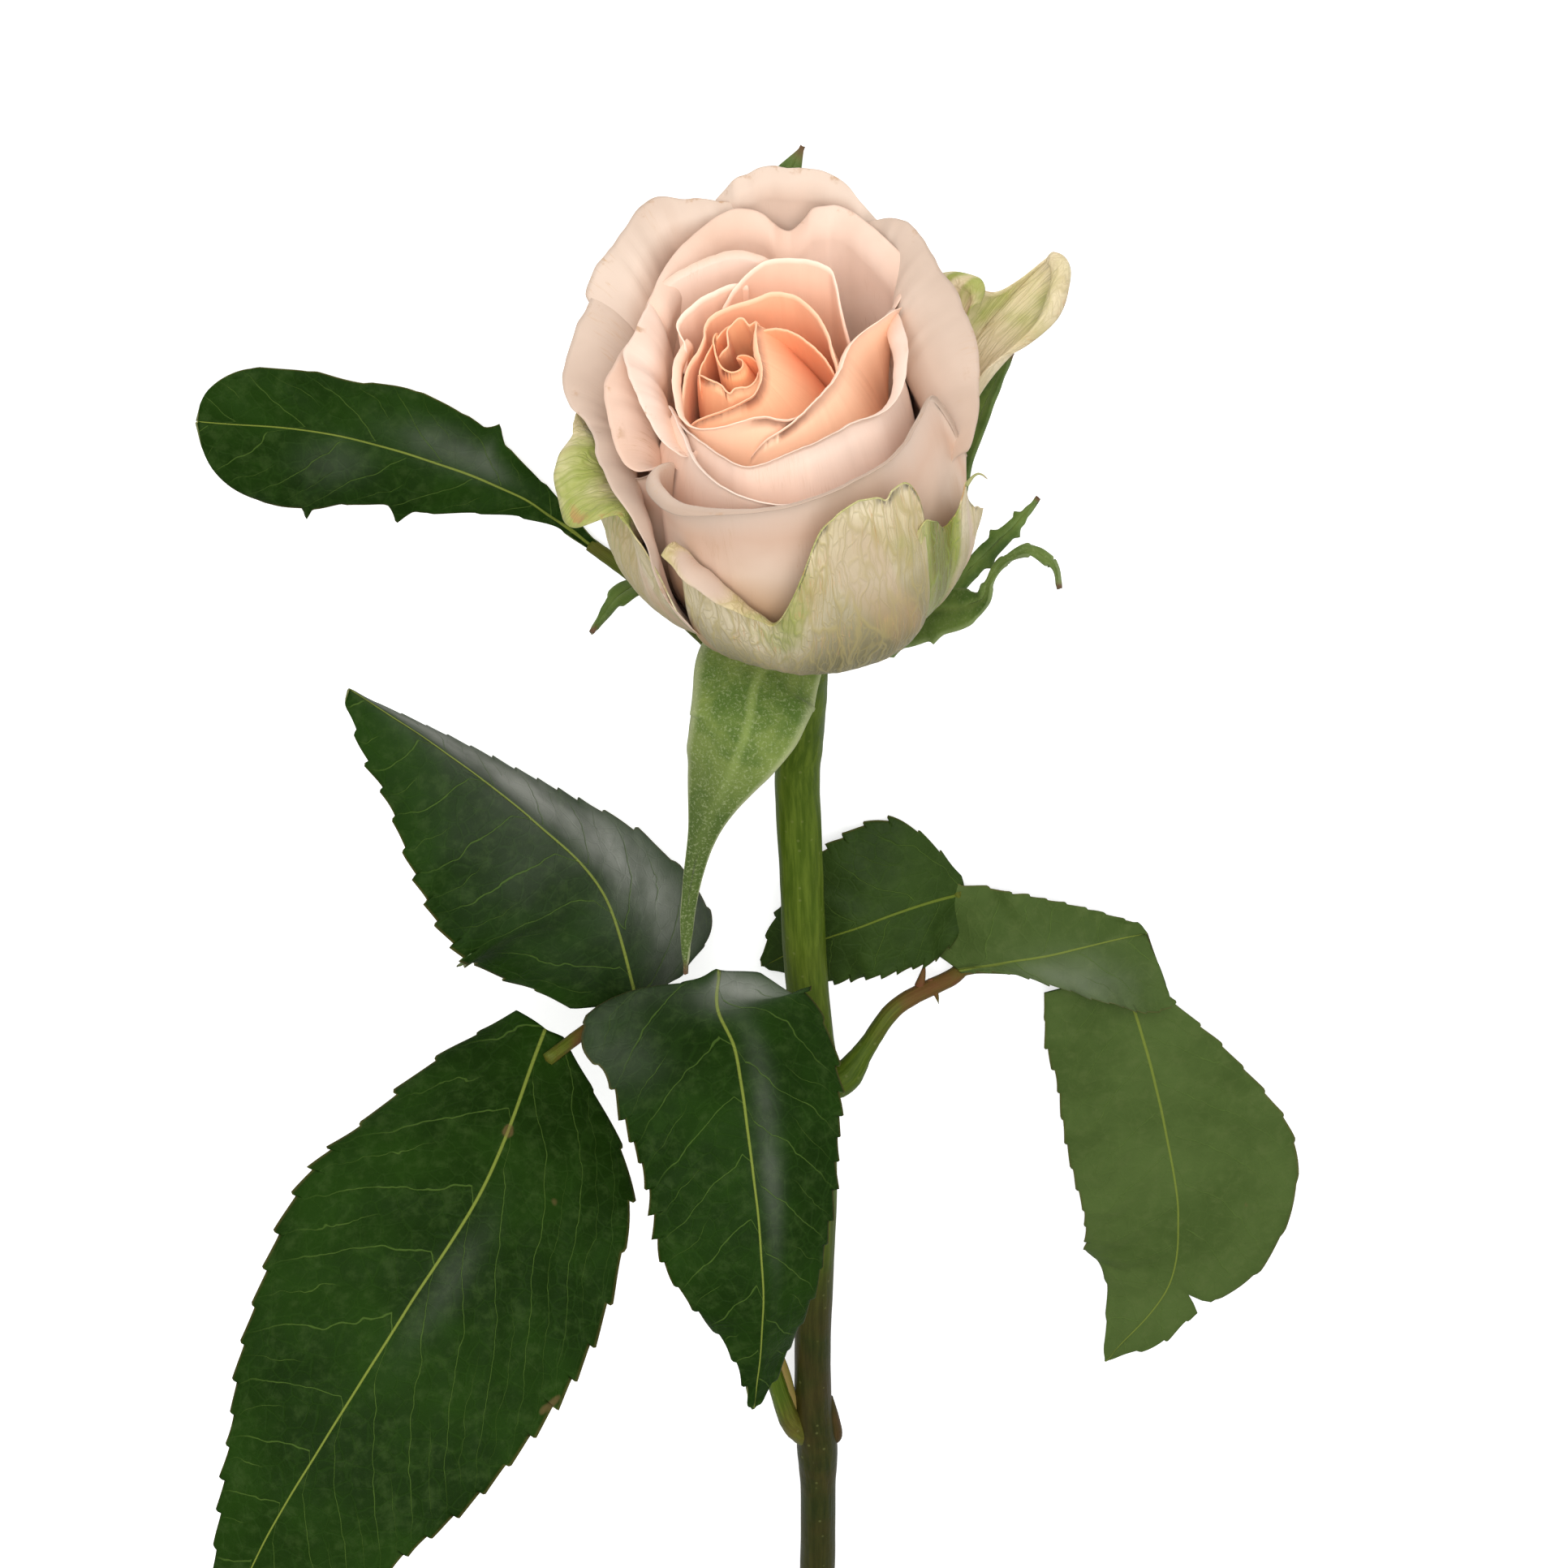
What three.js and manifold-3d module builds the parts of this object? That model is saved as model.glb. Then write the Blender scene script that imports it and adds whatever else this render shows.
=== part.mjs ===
// A cut rose lying on a table: a half-open bloom on its hip with five sepals, a long stem cut at a slant,
// a leaf of three leaflets on each side and one simple leaf close below the bloom.
// It is drawn upright first, with x to the right, y up the stem and z towards the eye, and then laid down.
import * as THREE from "three";
import { mergeVertices } from "three/addons/utils/BufferGeometryUtils.js";
import Module from "manifold-3d";

const wasm = await Module();
wasm.setup();

// Driving dimensions in millimetres and degrees.
const layDownTilt = 27;
const tableHeight = -54.5;
const middle = [0.35, 85.8];
const petalThickness = 0.7;
const bladeThickness = 0.8;
const sepalThickness = 1.1;
const toothDepth = 0.9;
const bellyHeight = 26;
const lowerArc = 39;
const bloomBase = new THREE.Vector3(2.1, 24, -20.5);
const bloomAxis = new THREE.Vector3(-0.068, 0.612, 0.788).normalize();

// The bloom's own directions: right, and away from the eye. Angle 0 is right, 90 away, 180 left, 270 in front.
const bloomRight = new THREE.Vector3(1, 0, 0).addScaledVector(bloomAxis, -bloomAxis.x).normalize();
const bloomAway = new THREE.Vector3().crossVectors(bloomAxis, bloomRight);

const radians = (degrees) => (degrees * Math.PI) / 180;
const point = (x, y, z) => new THREE.Vector3(x, y, z);

function inBloom(radius, angle, height) {
  return bloomBase
    .clone()
    .addScaledVector(bloomRight, radius * Math.cos(radians(angle)))
    .addScaledVector(bloomAway, radius * Math.sin(radians(angle)))
    .addScaledVector(bloomAxis, height);
}

// Smooth curve through evenly spaced values, read at u from 0 to 1.
function through(values, u) {
  const last = values.length - 1;
  const place = Math.min(Math.max(u, 0), 1) * last;
  const i = Math.min(Math.floor(place), last - 1);
  const f = place - i;
  const b = values[i];
  const c = values[i + 1];
  const a = i > 0 ? values[i - 1] : 2 * b - c;
  const d = i + 2 <= last ? values[i + 2] : 2 * c - b;
  return b + 0.5 * f * (c - a + f * (2 * a - 5 * b + 4 * c - d + f * (3 * (b - c) + d - a)));
}

// A closed solid from a list of points and triangles.
function solidFrom(points, triangles) {
  const vertProperties = new Float32Array(points.flatMap((p) => [p.x, p.y, p.z]));
  const solid = new wasm.Manifold(
    new wasm.Mesh({ numProp: 3, vertProperties, triVerts: new Uint32Array(triangles.flat()) }),
  );
  if (solid.volume() > 0) return solid;
  const turned = triangles.map(([a, b, c]) => [a, c, b]);
  return new wasm.Manifold(
    new wasm.Mesh({ numProp: 3, vertProperties, triVerts: new Uint32Array(turned.flat()) }),
  );
}

function solidOf(geometry) {
  geometry.deleteAttribute("normal");
  geometry.deleteAttribute("uv");
  const merged = mergeVertices(geometry, 1e-4);
  return new wasm.Manifold(
    new wasm.Mesh({
      numProp: 3,
      vertProperties: merged.attributes.position.array,
      triVerts: new Uint32Array(merged.index.array),
    }),
  );
}

// A thin sheet: the grid of points is its middle face, thickened half to each side, with closed rims.
function sheet(grid, thickness) {
  const rows = grid.length;
  const columns = grid[0].length;
  const upper = [];
  const lower = [];
  for (let i = 0; i < rows; i++) {
    for (let j = 0; j < columns; j++) {
      const along = grid[Math.min(i + 1, rows - 1)][j].clone().sub(grid[Math.max(i - 1, 0)][j]);
      const across = grid[i][Math.min(j + 1, columns - 1)].clone().sub(grid[i][Math.max(j - 1, 0)]);
      const normal = along.cross(across).normalize().multiplyScalar(thickness / 2);
      upper.push(grid[i][j].clone().add(normal));
      lower.push(grid[i][j].clone().sub(normal));
    }
  }
  const shift = rows * columns;
  const at = (i, j) => i * columns + j;
  const triangles = [];
  for (let i = 0; i + 1 < rows; i++) {
    for (let j = 0; j + 1 < columns; j++) {
      const [a, b, c, d] = [at(i, j), at(i, j + 1), at(i + 1, j + 1), at(i + 1, j)];
      triangles.push([a, b, c], [a, c, d]);
      triangles.push([a + shift, c + shift, b + shift], [a + shift, d + shift, c + shift]);
    }
  }
  const rim = [];
  for (let j = 0; j < columns; j++) rim.push(at(0, j));
  for (let i = 1; i < rows; i++) rim.push(at(i, columns - 1));
  for (let j = columns - 2; j >= 0; j--) rim.push(at(rows - 1, j));
  for (let i = rows - 2; i > 0; i--) rim.push(at(i, 0));
  rim.forEach((a, k) => {
    const b = rim[(k + 1) % rim.length];
    triangles.push([b, a, a + shift], [b, a + shift, b + shift]);
  });
  return solidFrom([...upper, ...lower], triangles);
}

// A round bar whose radius changes along a smooth line through its stations [x, y, z, radius].
function bar(stations, sides, steps) {
  const line = new THREE.CatmullRomCurve3(stations.map(([x, y, z]) => point(x, y, z)), false, "centripetal");
  const frames = line.computeFrenetFrames(steps, false);
  const points = [];
  const triangles = [];
  for (let i = 0; i <= steps; i++) {
    const centre = line.getPoint(i / steps);
    const radius = through(stations.map((s) => s[3]), i / steps);
    for (let j = 0; j < sides; j++) {
      const turn = (2 * Math.PI * j) / sides;
      points.push(
        centre
          .clone()
          .addScaledVector(frames.normals[i], radius * Math.cos(turn))
          .addScaledVector(frames.binormals[i], radius * Math.sin(turn)),
      );
    }
  }
  for (let i = 0; i < steps; i++) {
    for (let j = 0; j < sides; j++) {
      const next = (j + 1) % sides;
      const [a, b] = [i * sides + j, i * sides + next];
      triangles.push([a, b, b + sides], [a, b + sides, a + sides]);
    }
  }
  for (let j = 1; j + 1 < sides; j++) {
    const end = steps * sides;
    triangles.push([0, j + 1, j], [end, end + j, end + j + 1]);
  }
  return solidFrom(points, triangles);
}

// One petal. Each line up the petal follows a quarter ellipse from the base out to the belly, goes straight
// up from there, leans to the rim's radius with a power of the way gone, and ends in a rolled lip.
// radii and heights are those of the rim at even steps round the bloom, from turn - spread to turn + spread.
function petalPoint(petal, u, s) {
  const angle = petal.turn + petal.spread * (2 * u - 1);
  const radius = through(petal.radii, u);
  const height = through(petal.heights, u);
  const [lip, turned] = [petal.roll[0], radians(petal.roll[1])];
  const crest = Math.min(turned, Math.PI / 2);
  const bodyTop = height - lip * Math.sin(crest);
  const bodyRadius = radius - lip * (1 - Math.cos(crest));
  const way = Math.min(s / 0.8, 1);
  const full =
    bodyTop > bellyHeight
      ? lowerArc + bodyTop - bellyHeight
      : (lowerArc * Math.acos(1 - bodyTop / bellyHeight)) / (Math.PI / 2);
  const profile = (length) => {
    if (length > lowerArc) return [petal.belly, bellyHeight + length - lowerArc];
    const bend = ((length / lowerArc) * Math.PI) / 2;
    return [petal.belly * Math.sin(bend), bellyHeight * (1 - Math.cos(bend))];
  };
  let [r, h] = profile(full * (0.07 + 0.93 * way));
  r += (bodyRadius - profile(full)[0]) * way ** (petal.lean ?? 3);
  h += 0.9 * (1 - way);
  if (s > 0.8) {
    const bend = ((s - 0.8) / 0.2) * turned;
    r = bodyRadius + lip * (1 - Math.cos(bend));
    h = bodyTop + lip * Math.sin(bend);
  }
  const place = inBloom(r, angle, h);
  const [right, away] = petal.centre ?? [0, 0];
  return place
    .addScaledVector(bloomRight, right * way ** 2)
    .addScaledVector(bloomAway, away * way ** 2);
}

function petalSolid(petal) {
  const columns = petal.columns ?? Math.min(12, Math.max(6, Math.round(petal.spread / 6)));
  const body = petal.belly < 15 ? [0.3, 0.55, 0.8] : [0, 0.2, 0.4, 0.6, 0.8];
  const lip = petal.roll[1] > 70 ? [0.87, 0.94, 1] : [petal.lean > 3 ? 0.9 : 1, 1];
  const ways = [...new Set([...body, ...lip])];
  const grid = ways.map((s) =>
    Array.from({ length: columns + 1 }, (_, j) => petalPoint(petal, j / columns, s)),
  );
  return sheet(grid, petalThickness);
}

// Outer petals, from the one that stands behind, round by the left to the front and the right.
const outerPetals = [
  { turn: 84, spread: 34, belly: 22.9, roll: [3, 60],
    radii: [27, 27.7, 29.2, 29.6, 29.8, 30, 28.5], heights: [44, 46.5, 50, 51, 51, 48, 44] },
  { turn: 128, spread: 34, belly: 23.8, roll: [3, 60],
    radii: [28, 28.4, 31, 31, 29, 28.5, 27], heights: [46, 48.5, 49.5, 48.5, 46, 44, 42] },
  { turn: 196, spread: 52, belly: 24.7, roll: [1.5, 60],
    radii: [27.7, 27.4, 26.4, 25.4, 25.6, 25.8, 24.2], heights: [43, 43.5, 42, 42, 41, 32, 20] },
  { turn: 288, spread: 64, belly: 23.7, roll: [1.8, 150],
    radii: [22, 25, 24.3, 22.8, 21.9, 20.6, 23.5], heights: [41, 44, 45.2, 45, 45, 45.5, 31] },
  { turn: 24, spread: 44, belly: 24.7, roll: [1.5, 50],
    radii: [23.5, 24.7, 25, 24.7, 25.4, 26.6, 26], heights: [31, 39, 45, 47, 48, 49, 47] },
];

// Petals of the second layer.
const middlePetals = [
  { turn: 78, spread: 50, belly: 21.5, columns: 12, roll: [1.5, 60],
    radii: [12, 21.5, 23.8, 25.2, 25.8, 24.6, 26.6, 27.8, 28],
    heights: [41, 46, 47.5, 48.5, 49, 45, 48, 48.5, 45] },
  { turn: 190, spread: 42, belly: 21.5, roll: [1.4, 120],
    radii: [19, 20, 21, 21.4, 21.5, 21.6, 20], heights: [45, 45, 44.5, 43.5, 42.5, 41.5, 40] },
  { turn: 198, spread: 36, belly: 19, roll: [1.2, 110],
    radii: [19.6, 19.2, 18.5, 17.8, 17.4, 17.2, 16.5], heights: [46, 46, 45.5, 44.8, 44, 43, 42] },
  { turn: 262, spread: 50, belly: 20.3, lean: 4, roll: [1, 60],
    radii: [15.4, 17.5, 20, 21.8, 23, 22.5, 21], heights: [45, 45, 45, 44.6, 44, 43, 42] },
  { turn: 288, spread: 76, belly: 17.6, lean: 5, roll: [1.2, 100],
    radii: [14.6, 15, 16.5, 16.5, 14.8, 14.3, 15, 15.2, 14.8],
    heights: [44.5, 45, 45, 45, 45, 45, 45.4, 46, 46] },
  { turn: 117, spread: 34, belly: 18, roll: [1, 60],
    radii: [17.5, 17.8, 18.8, 19.8, 20.2, 20.3, 19], heights: [46, 47.5, 48, 48, 47, 44.5, 42] },
];

// Petals of the inner layers, the last of them rolled up round the heart, which sits left of the axis.
const innerPetals = [
  { turn: 80, spread: 46, belly: 14.5, roll: [0.8, 40],
    radii: [11.5, 12.8, 16.3, 16.3, 16.3, 14.7, 13], heights: [40, 44, 47.3, 48, 48, 47, 44] },
  { turn: 165, spread: 40, belly: 14, roll: [0.8, 40],
    radii: [17.5, 16.5, 15.5, 13.5, 12, 11.3, 11], heights: [46.5, 46.5, 46, 46, 45.5, 44.5, 44] },
  { turn: 296, spread: 88, belly: 14, lean: 5, roll: [0.8, 60],
    radii: [13.8, 12.8, 10.8, 9.8, 10, 10.2, 9.3, 9, 13],
    heights: [44.5, 45, 46, 46, 46, 46, 46.2, 46.6, 47] },
  { turn: 88, spread: 100, belly: 11, lean: 4, roll: [0.6, 30],
    radii: [7.8, 7.7, 8.8, 10, 10.5, 10.6, 10.6], heights: [43, 45.5, 47, 48, 47.3, 45.8, 44] },
  { turn: 40, spread: 62, belly: 9.6, lean: 6, roll: [0.5, 20],
    radii: [7.5, 7, 6.2, 5.2, 4.8, 4.7, 4.7], heights: [43.5, 44, 45, 46, 46.7, 47, 47] },
  { turn: 250, spread: 110, belly: 8.8, lean: 6, centre: [-4.5, 0.5], roll: [0.5, 20],
    radii: [5.5, 4.8, 3.8, 3.2, 3.4, 3.2, 3.4], heights: [46.5, 46, 45, 44.8, 45.2, 46, 47.5] },
  { turn: 150, spread: 190, belly: 6, lean: 6, centre: [-5, 0.5], roll: [0.4, 20], columns: 14,
    radii: [1.3, 1.6, 2, 2.4, 3, 3.4, 3.8], heights: [45, 45.6, 46.2, 46.6, 46.6, 46.2, 45.6] },
];

// Greenish guard petals: the folded one in front, its neighbour on the right, the one on the left,
// and the one that curls away at the upper right.
const guardPetals = [
  { turn: 278, spread: 38, belly: 26.4, columns: 12, roll: [0.8, 20],
    radii: [26, 26.4, 26, 26.6, 26.4, 25.6, 25.6, 26.2, 26.2],
    heights: [36, 31.5, 27, 27, 36, 43, 44.5, 43.5, 36] },
  { turn: 334, spread: 24, belly: 25.6, roll: [0.8, 20],
    radii: [26.2, 26.2, 25.8, 26, 26], heights: [34, 33.5, 35, 34, 26] },
  { turn: 184, spread: 32, belly: 25.6, roll: [1, 30],
    radii: [27, 27.6, 28, 27, 26.4], heights: [33, 35, 33, 30, 27] },
  { turn: 34, spread: 12, belly: 26, roll: [1.5, 60],
    radii: [29.5, 39.5, 43.2, 35, 31.5], heights: [31.5, 35.5, 38, 37.5, 38] },
];

// Only the largest part of a joined body is kept, without the small hollows sealed inside it.
function oneBody(solids) {
  let joined = solids[0];
  for (const solid of solids.slice(1)) joined = joined.add(solid);
  return joined.decompose().reduce((best, part) => (part.volume() > best.volume() ? part : best));
}

// The heart of the bloom, which all petals stand out of.
function bloomHeart() {
  const outline = [[0, 0.7], [6, 0.9], [11, 2.8], [14.3, 8], [14.3, 16], [12, 24], [8, 31], [0, 35]];
  const egg = new THREE.LatheGeometry(outline.map(([r, h]) => new THREE.Vector2(r, h)), 18);
  egg.applyMatrix4(
    new THREE.Matrix4().makeBasis(bloomRight, bloomAxis, bloomAway.clone().negate()).setPosition(bloomBase),
  );
  return solidOf(egg);
}

// One leaf blade. Its rib runs smoothly through even stations [x, y, z]; wide[0] and wide[1] are the half
// widths on its two sides at even steps from base to tip. Each side is folded up by an angle that goes from
// fold[side][0] at the base to fold[side][1] at the tip, and bends down with the square of the way out.
// facing is the way its upper side looks, at the base and from the middle on.
function bladePoint(blade, u, t) {
  const ribAt = (q) => point(...[0, 1, 2].map((axis) => through(blade.rib.map((p) => p[axis]), q)));
  const place = ribAt(t);
  const tangent = ribAt(Math.min(t + 0.02, 1)).sub(ribAt(Math.max(t - 0.02, 0))).normalize();
  const facing = point(...blade.facing[0]).lerp(point(...blade.facing[1]), Math.min(2 * t, 1));
  const side = tangent.clone().cross(facing).normalize();
  const normal = side.clone().cross(tangent).normalize();
  const hand = u < 0 ? 0 : 1;
  const width = Math.abs(u) * Math.max(through(blade.wide[hand], t), 0.3);
  const [near, far] = blade.fold[hand];
  const fold = radians(near + (far - near) * t);
  const droop = (blade.droop ?? 0.12) * width * Math.abs(u);
  return place
    .addScaledVector(side, Math.sign(u) * width * Math.cos(fold))
    .addScaledVector(normal, width * Math.sin(fold) - droop);
}

// The blade with a saw edge: each tooth has a notch and a tip that leans to the end of the leaf.
function bladeSolid(blade) {
  const deep = blade.toothDepth ?? toothDepth;
  const grid = [];
  for (let i = 0; i <= 2 * blade.teeth; i++) {
    const t = i / (2 * blade.teeth);
    grid.push(
      (blade.across ?? [-1, -0.5, 0, 0.5, 1]).map((u) => {
        const place = bladePoint(blade, u, t);
        if (Math.abs(u) < 1 || i % 2 === 0) return place;
        const outward = place.clone().sub(bladePoint(blade, 0.5 * u, t)).normalize();
        const onward = bladePoint(blade, u, Math.min(t + 0.02, 1)).sub(place).normalize();
        return place.addScaledVector(outward, deep).addScaledVector(onward, deep);
      }),
    );
  }
  return sheet(grid, blade.thickness ?? bladeThickness);
}

const leftLeaflets = [
  // upper left, its upper half turned away
  { rib: [[-21.5, -31.9, -56], [-25.9, -15.5, -44], [-35.4, -5, -37], [-47.5, 4.6, -33], [-60.3, 13.1, -32]],
    wide: [[8, 19, 20.5, 20.5, 16, 8, 1.5], [9, 17, 15.5, 13, 10, 6, 1.2]],
    fold: [[-3, 0], [-32, -80]], facing: [[0.1, 0.1, 1], [0.1, 0.1, 1]], teeth: 14 },
  // centre, arched over its own base
  { rib: [[-9.8, -36.9, -66], [-8.5, -29.8, -47], [-5.7, -46.7, -33], [-2.9, -67, -33], [-4.4, -89.3, -46]],
    wide: [[2, 16, 18, 17, 14, 8, 0.5], [2, 20, 20, 17.5, 15.5, 9, 0.5]],
    fold: [[-30, -30], [-12, -4]], facing: [[0.1, 1, 0.1], [0.1, 0.2, 1]], teeth: 15 },
  // lower left, the end leaflet
  { rib: [[-34.5, -35.4, -50], [-41.5, -55.4, -35], [-51.9, -72.3, -28], [-62.5, -89.3, -24], [-70.9, -103.4, -25],
      [-79.8, -121.7, -33]],
    wide: [[3.5, 18.5, 23.5, 23, 21, 14, 0.5], [4.5, 15.5, 20.5, 18.2, 12.6, 5.6, 0.5]],
    fold: [[-6, -4], [-4, -4]], facing: [[0, 0.1, 1], [0, 0.1, 1]], teeth: 17 },
];

const rightLeaflets = [
  // behind the stem
  { rib: [[27.1, -16.3, -68], [19.3, -18.4, -65], [11.4, -21.3, -65], [4.1, -24, -68], [-3.2, -27.5, -72]],
    wide: [[4, 8.5, 9, 8, 6.5, 4, 0.5], [6, 12, 13.2, 12.4, 10, 6, 0.5]],
    fold: [[0, 0], [0, 0]], facing: [[0, -0.3, 1], [0, -0.3, 1]], teeth: 9 },
  // middle right, its lower half folded down over the rib
  { rib: [[25.8, -27.8, -72], [33.3, -23.9, -66], [42.2, -21.8, -64], [51, -23.6, -67], [58.5, -33.3, -76]],
    wide: [[8, 12, 8.5, 6, 4, 2.5, 0.5], [1.5, 4, 8, 12, 13.5, 11, 3]],
    fold: [[10, 0], [-10, -35]], facing: [[0, -0.2, 1], [0, -0.2, 1]], teeth: 10 },
  // end leaflet, its pale lower side to the eye
  { rib: [[52.6, -33.7, -76], [59.2, -46.8, -80], [62.4, -60.1, -87], [63.3, -74.5, -94], [60.4, -91.9, -105]],
    wide: [[4, 10.5, 15, 18, 16, 10.5, 1], [13, 17, 18, 17.5, 16, 13, 7]],
    fold: [[0, 0], [0, 0]], facing: [[0, 0, 1], [0, 0, 1]], teeth: 13 },
];

const bractBlade = {
  rib: [[-26.6, 33.4, -42], [-37.2, 40.4, -38], [-50.6, 45.5, -35], [-65, 49, -33.5], [-81.8, 50.5, -34.6]],
  wide: [[1.2, 2, 5, 7.8, 10, 10.3, 3.5], [1.2, 4, 8.2, 9.3, 9, 8, 3]],
  fold: [[5, 0], [5, 0]], facing: [[0, -0.3, 1], [0, -0.3, 1]], teeth: 9, toothDepth: 0.6,
};

// Sepals: hanging in front, curling on the right with a toothed side lobe, behind on the right,
// under the bloom with its tip out past the top, and short on the left.
const sepals = [
  { rib: [[1.9, 19.9, -19.3], [-3.3, 14.5, -14.5], [-4.9, 7.1, -12], [-7.5, 0.4, -15], [-11, -7, -21],
      [-13.2, -16.6, -28], [-13.7, -26.4, -34]],
    wide: [[3, 8.2, 7.5, 5, 1.9, 1, 0.4], [3, 8.2, 7.5, 5, 1.9, 1, 0.4]],
    fold: [[-12, -10], [-12, -10]], facing: [[0, 0.3, 1], [0, 0.3, 1]], teeth: 6, toothDepth: 0 },
  { rib: [[5.7, 21.6, -20.3], [11.5, 19.8, -18.5], [18.5, 21, -13], [25, 25, -9.5], [28.3, 29.3, -8],
      [32.3, 30.6, -8], [35.9, 25.8, -6]],
    wide: [[3, 3.6, 3, 2, 1.1, 0.9, 0.5], [3, 3.6, 3, 2, 1.1, 0.9, 0.5]],
    fold: [[12, 10], [12, 10]], facing: [[-0.4, 0.2, 0.9], [-0.4, 0.2, 0.9]], teeth: 8, toothDepth: 0.7 },
  { rib: [[15.5, 20, -14], [20.9, 23.8, -12.5], [25.6, 29, -11], [29.3, 33.2, -10], [33.1, 37.2, -9]],
    wide: [[1.2, 1.9, 2, 1.4, 0.4], [1.2, 1.9, 2, 1.4, 0.4]],
    fold: [[5, 5], [5, 5]], facing: [[-0.2, 0.2, 1], [-0.2, 0.2, 1]], teeth: 5, toothDepth: 0.6 },
  { rib: [[5.5, 25, -22.9], [13, 30, -25], [21.4, 36, -22.5], [25.4, 44, -17], [28.3, 51.1, -13],
      [30, 57, -11.5]],
    wide: [[3, 4.4, 3.8, 3, 1.8, 0.5], [3, 4.4, 3.8, 3, 1.8, 0.5]],
    fold: [[10, 10], [10, 10]], facing: [[-0.7, 0, 0.7], [-0.7, 0, 0.7]], teeth: 6, toothDepth: 0 },
  { rib: [[2.2, 26.2, -24.1], [1.5, 36.8, -32], [1, 47, -31.5], [1, 57.4, -27], [1.5, 66, -23],
      [1.9, 75, -20], [2.5, 85.6, -18]],
    wide: [[3, 4.6, 4.6, 4, 3, 1.8, 0.4], [3, 4.6, 4.6, 4, 3, 1.8, 0.4]],
    fold: [[10, 10], [10, 10]], facing: [[0, -0.4, 1], [0, -0.4, 1]], teeth: 7, toothDepth: 0 },
  { rib: [[-1.1, 21.1, -20.5], [-6, 19.5, -21.5], [-11.6, 21.2, -22], [-17, 23.6, -19.5], [-21, 23.2, -15],
      [-25.4, 20.1, -12]],
    wide: [[3, 3.2, 2.8, 2.2, 1.5, 0.4], [3, 3.2, 2.8, 2.2, 1.5, 0.4]],
    fold: [[8, 8], [8, 8]], facing: [[0.2, 0.5, 0.8], [0.2, 0.5, 0.8]], teeth: 6, toothDepth: 0.8 },
];

// The hip, swollen under the petals, in one body with the sepals.
const hip = [
  [2.1, 24.05, -20.42, 4.6], [2.2, 22.6, -22.6, 5.2], [2.4, 20.6, -25.2, 5], [2.5, 18.8, -27.6, 4.2],
  [2.6, 17.8, -29, 3.6],
];

// The stem from the neck under the hip down to the cut, swollen where a leaf stands.
const stemLine = [
  [2.65, 17.42, -29.52, 3.4], [2.7, 12, -36, 3.3], [2.3, 6, -41.5, 3.25], [1.9, 0, -45.8, 3.25],
  [2.5, -12, -53.4, 3.2], [3, -24, -60.3, 3.2], [4, -36, -67, 3.2], [4.6, -44, -71.6, 3.6],
  [5, -52, -76, 3.1], [5.2, -64, -83, 3], [4.9, -76, -89.8, 2.95], [4.6, -88, -96.7, 2.9],
  [4.7, -100, -103.4, 3], [5.4, -108, -108, 3.3], [5.6, -116, -112.5, 2.9], [5.6, -132, -121.5, 2.9],
  [5.2, -150, -131.6, 2.9], [4.6, -168, -141.6, 2.95], [4, -190, -154.9, 3], [3.4, -206, -164.4, 3],
];
const stemBottom = point(3.8, -192, -155);

// Leaf stalks [x, y, z, radius], each starting inside the stem, with the prickles below the right leaf.
const leftStalk = [
  [4.5, -106.5, -107, 2], [1.5, -103.5, -104, 1.9], [-0.6, -98, -100, 1.5], [-5.2, -80.9, -90, 1.2],
  [-10.8, -60.5, -80, 1.1], [-16.6, -43.3, -70, 1.1], [-21.6, -33.2, -58, 1.1], [-27.2, -34.8, -52, 1],
  [-34, -39.6, -47.4, 1],
];
const centreStalk = [[-20, -36, -64, 0.9], [-15, -38.5, -67.5, 0.9], [-9.6, -36.9, -65.7, 0.9]];
const rightStalk = [
  [5.2, -45.5, -72, 2.6], [8.6, -45, -71, 2.2], [11.8, -39.7, -70.5, 1.4], [16.4, -32.9, -70, 1.25],
  [24.5, -28.8, -73, 1.25], [29, -27.8, -76, 1.1], [41.6, -28.5, -78, 1.05], [53.5, -34.5, -77, 1],
];
const behindStalk = [[26.5, -27, -74, 0.9], [29, -21.5, -71.5, 0.9], [26, -16, -67.6, 0.9]];
const prickles = [
  [[20.5, -30.5, -71, 0.8], [21, -28.4, -70.3, 0.4], [21.2, -26.9, -70, 0.1]],
  [[22, -29.7, -71.8, 0.8], [23, -31.8, -71.6, 0.4], [23.4, -33.2, -71.7, 0.1]],
];
const bractStalk = [
  [2.4, 8, -40, 1.5], [-3, 12.5, -40.5, 1.3], [-12, 21.5, -42.5, 1.15], [-20, 28.5, -42.8, 1.1],
  [-27.5, 34, -41.9, 1],
];

const poseMatrix = new THREE.Matrix4()
  .makeRotationX(radians(-layDownTilt))
  .setPosition(...middle, -tableHeight);

// What lies below the table's top is cut off level, which leaves the small flats that the rose rests on.
function restOnTable(solid) {
  const slab = new THREE.BoxGeometry(700, 900, 80).translate(0, 0, -40);
  slab.applyMatrix4(poseMatrix.clone().invert());
  return oneBody([solid.subtract(solidOf(slab))]);
}

function slantCut(solid) {
  const waste = new THREE.BoxGeometry(60, 80, 60).translate(0, -40, 0);
  waste.rotateX(radians(55)).translate(stemBottom.x, stemBottom.y, stemBottom.z);
  return solid.subtract(solidOf(waste));
}

// Leaves and stem touch at their joints, so each stalk is cut back to a small gap round the stem.
const jointGap = 0.3;
const stemRoom = bar(stemLine.map(([x, y, z, radius]) => [x, y, z, radius + jointGap]), 16, 44);
const seated = (solids) => oneBody([oneBody(solids).subtract(stemRoom)]);

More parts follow.
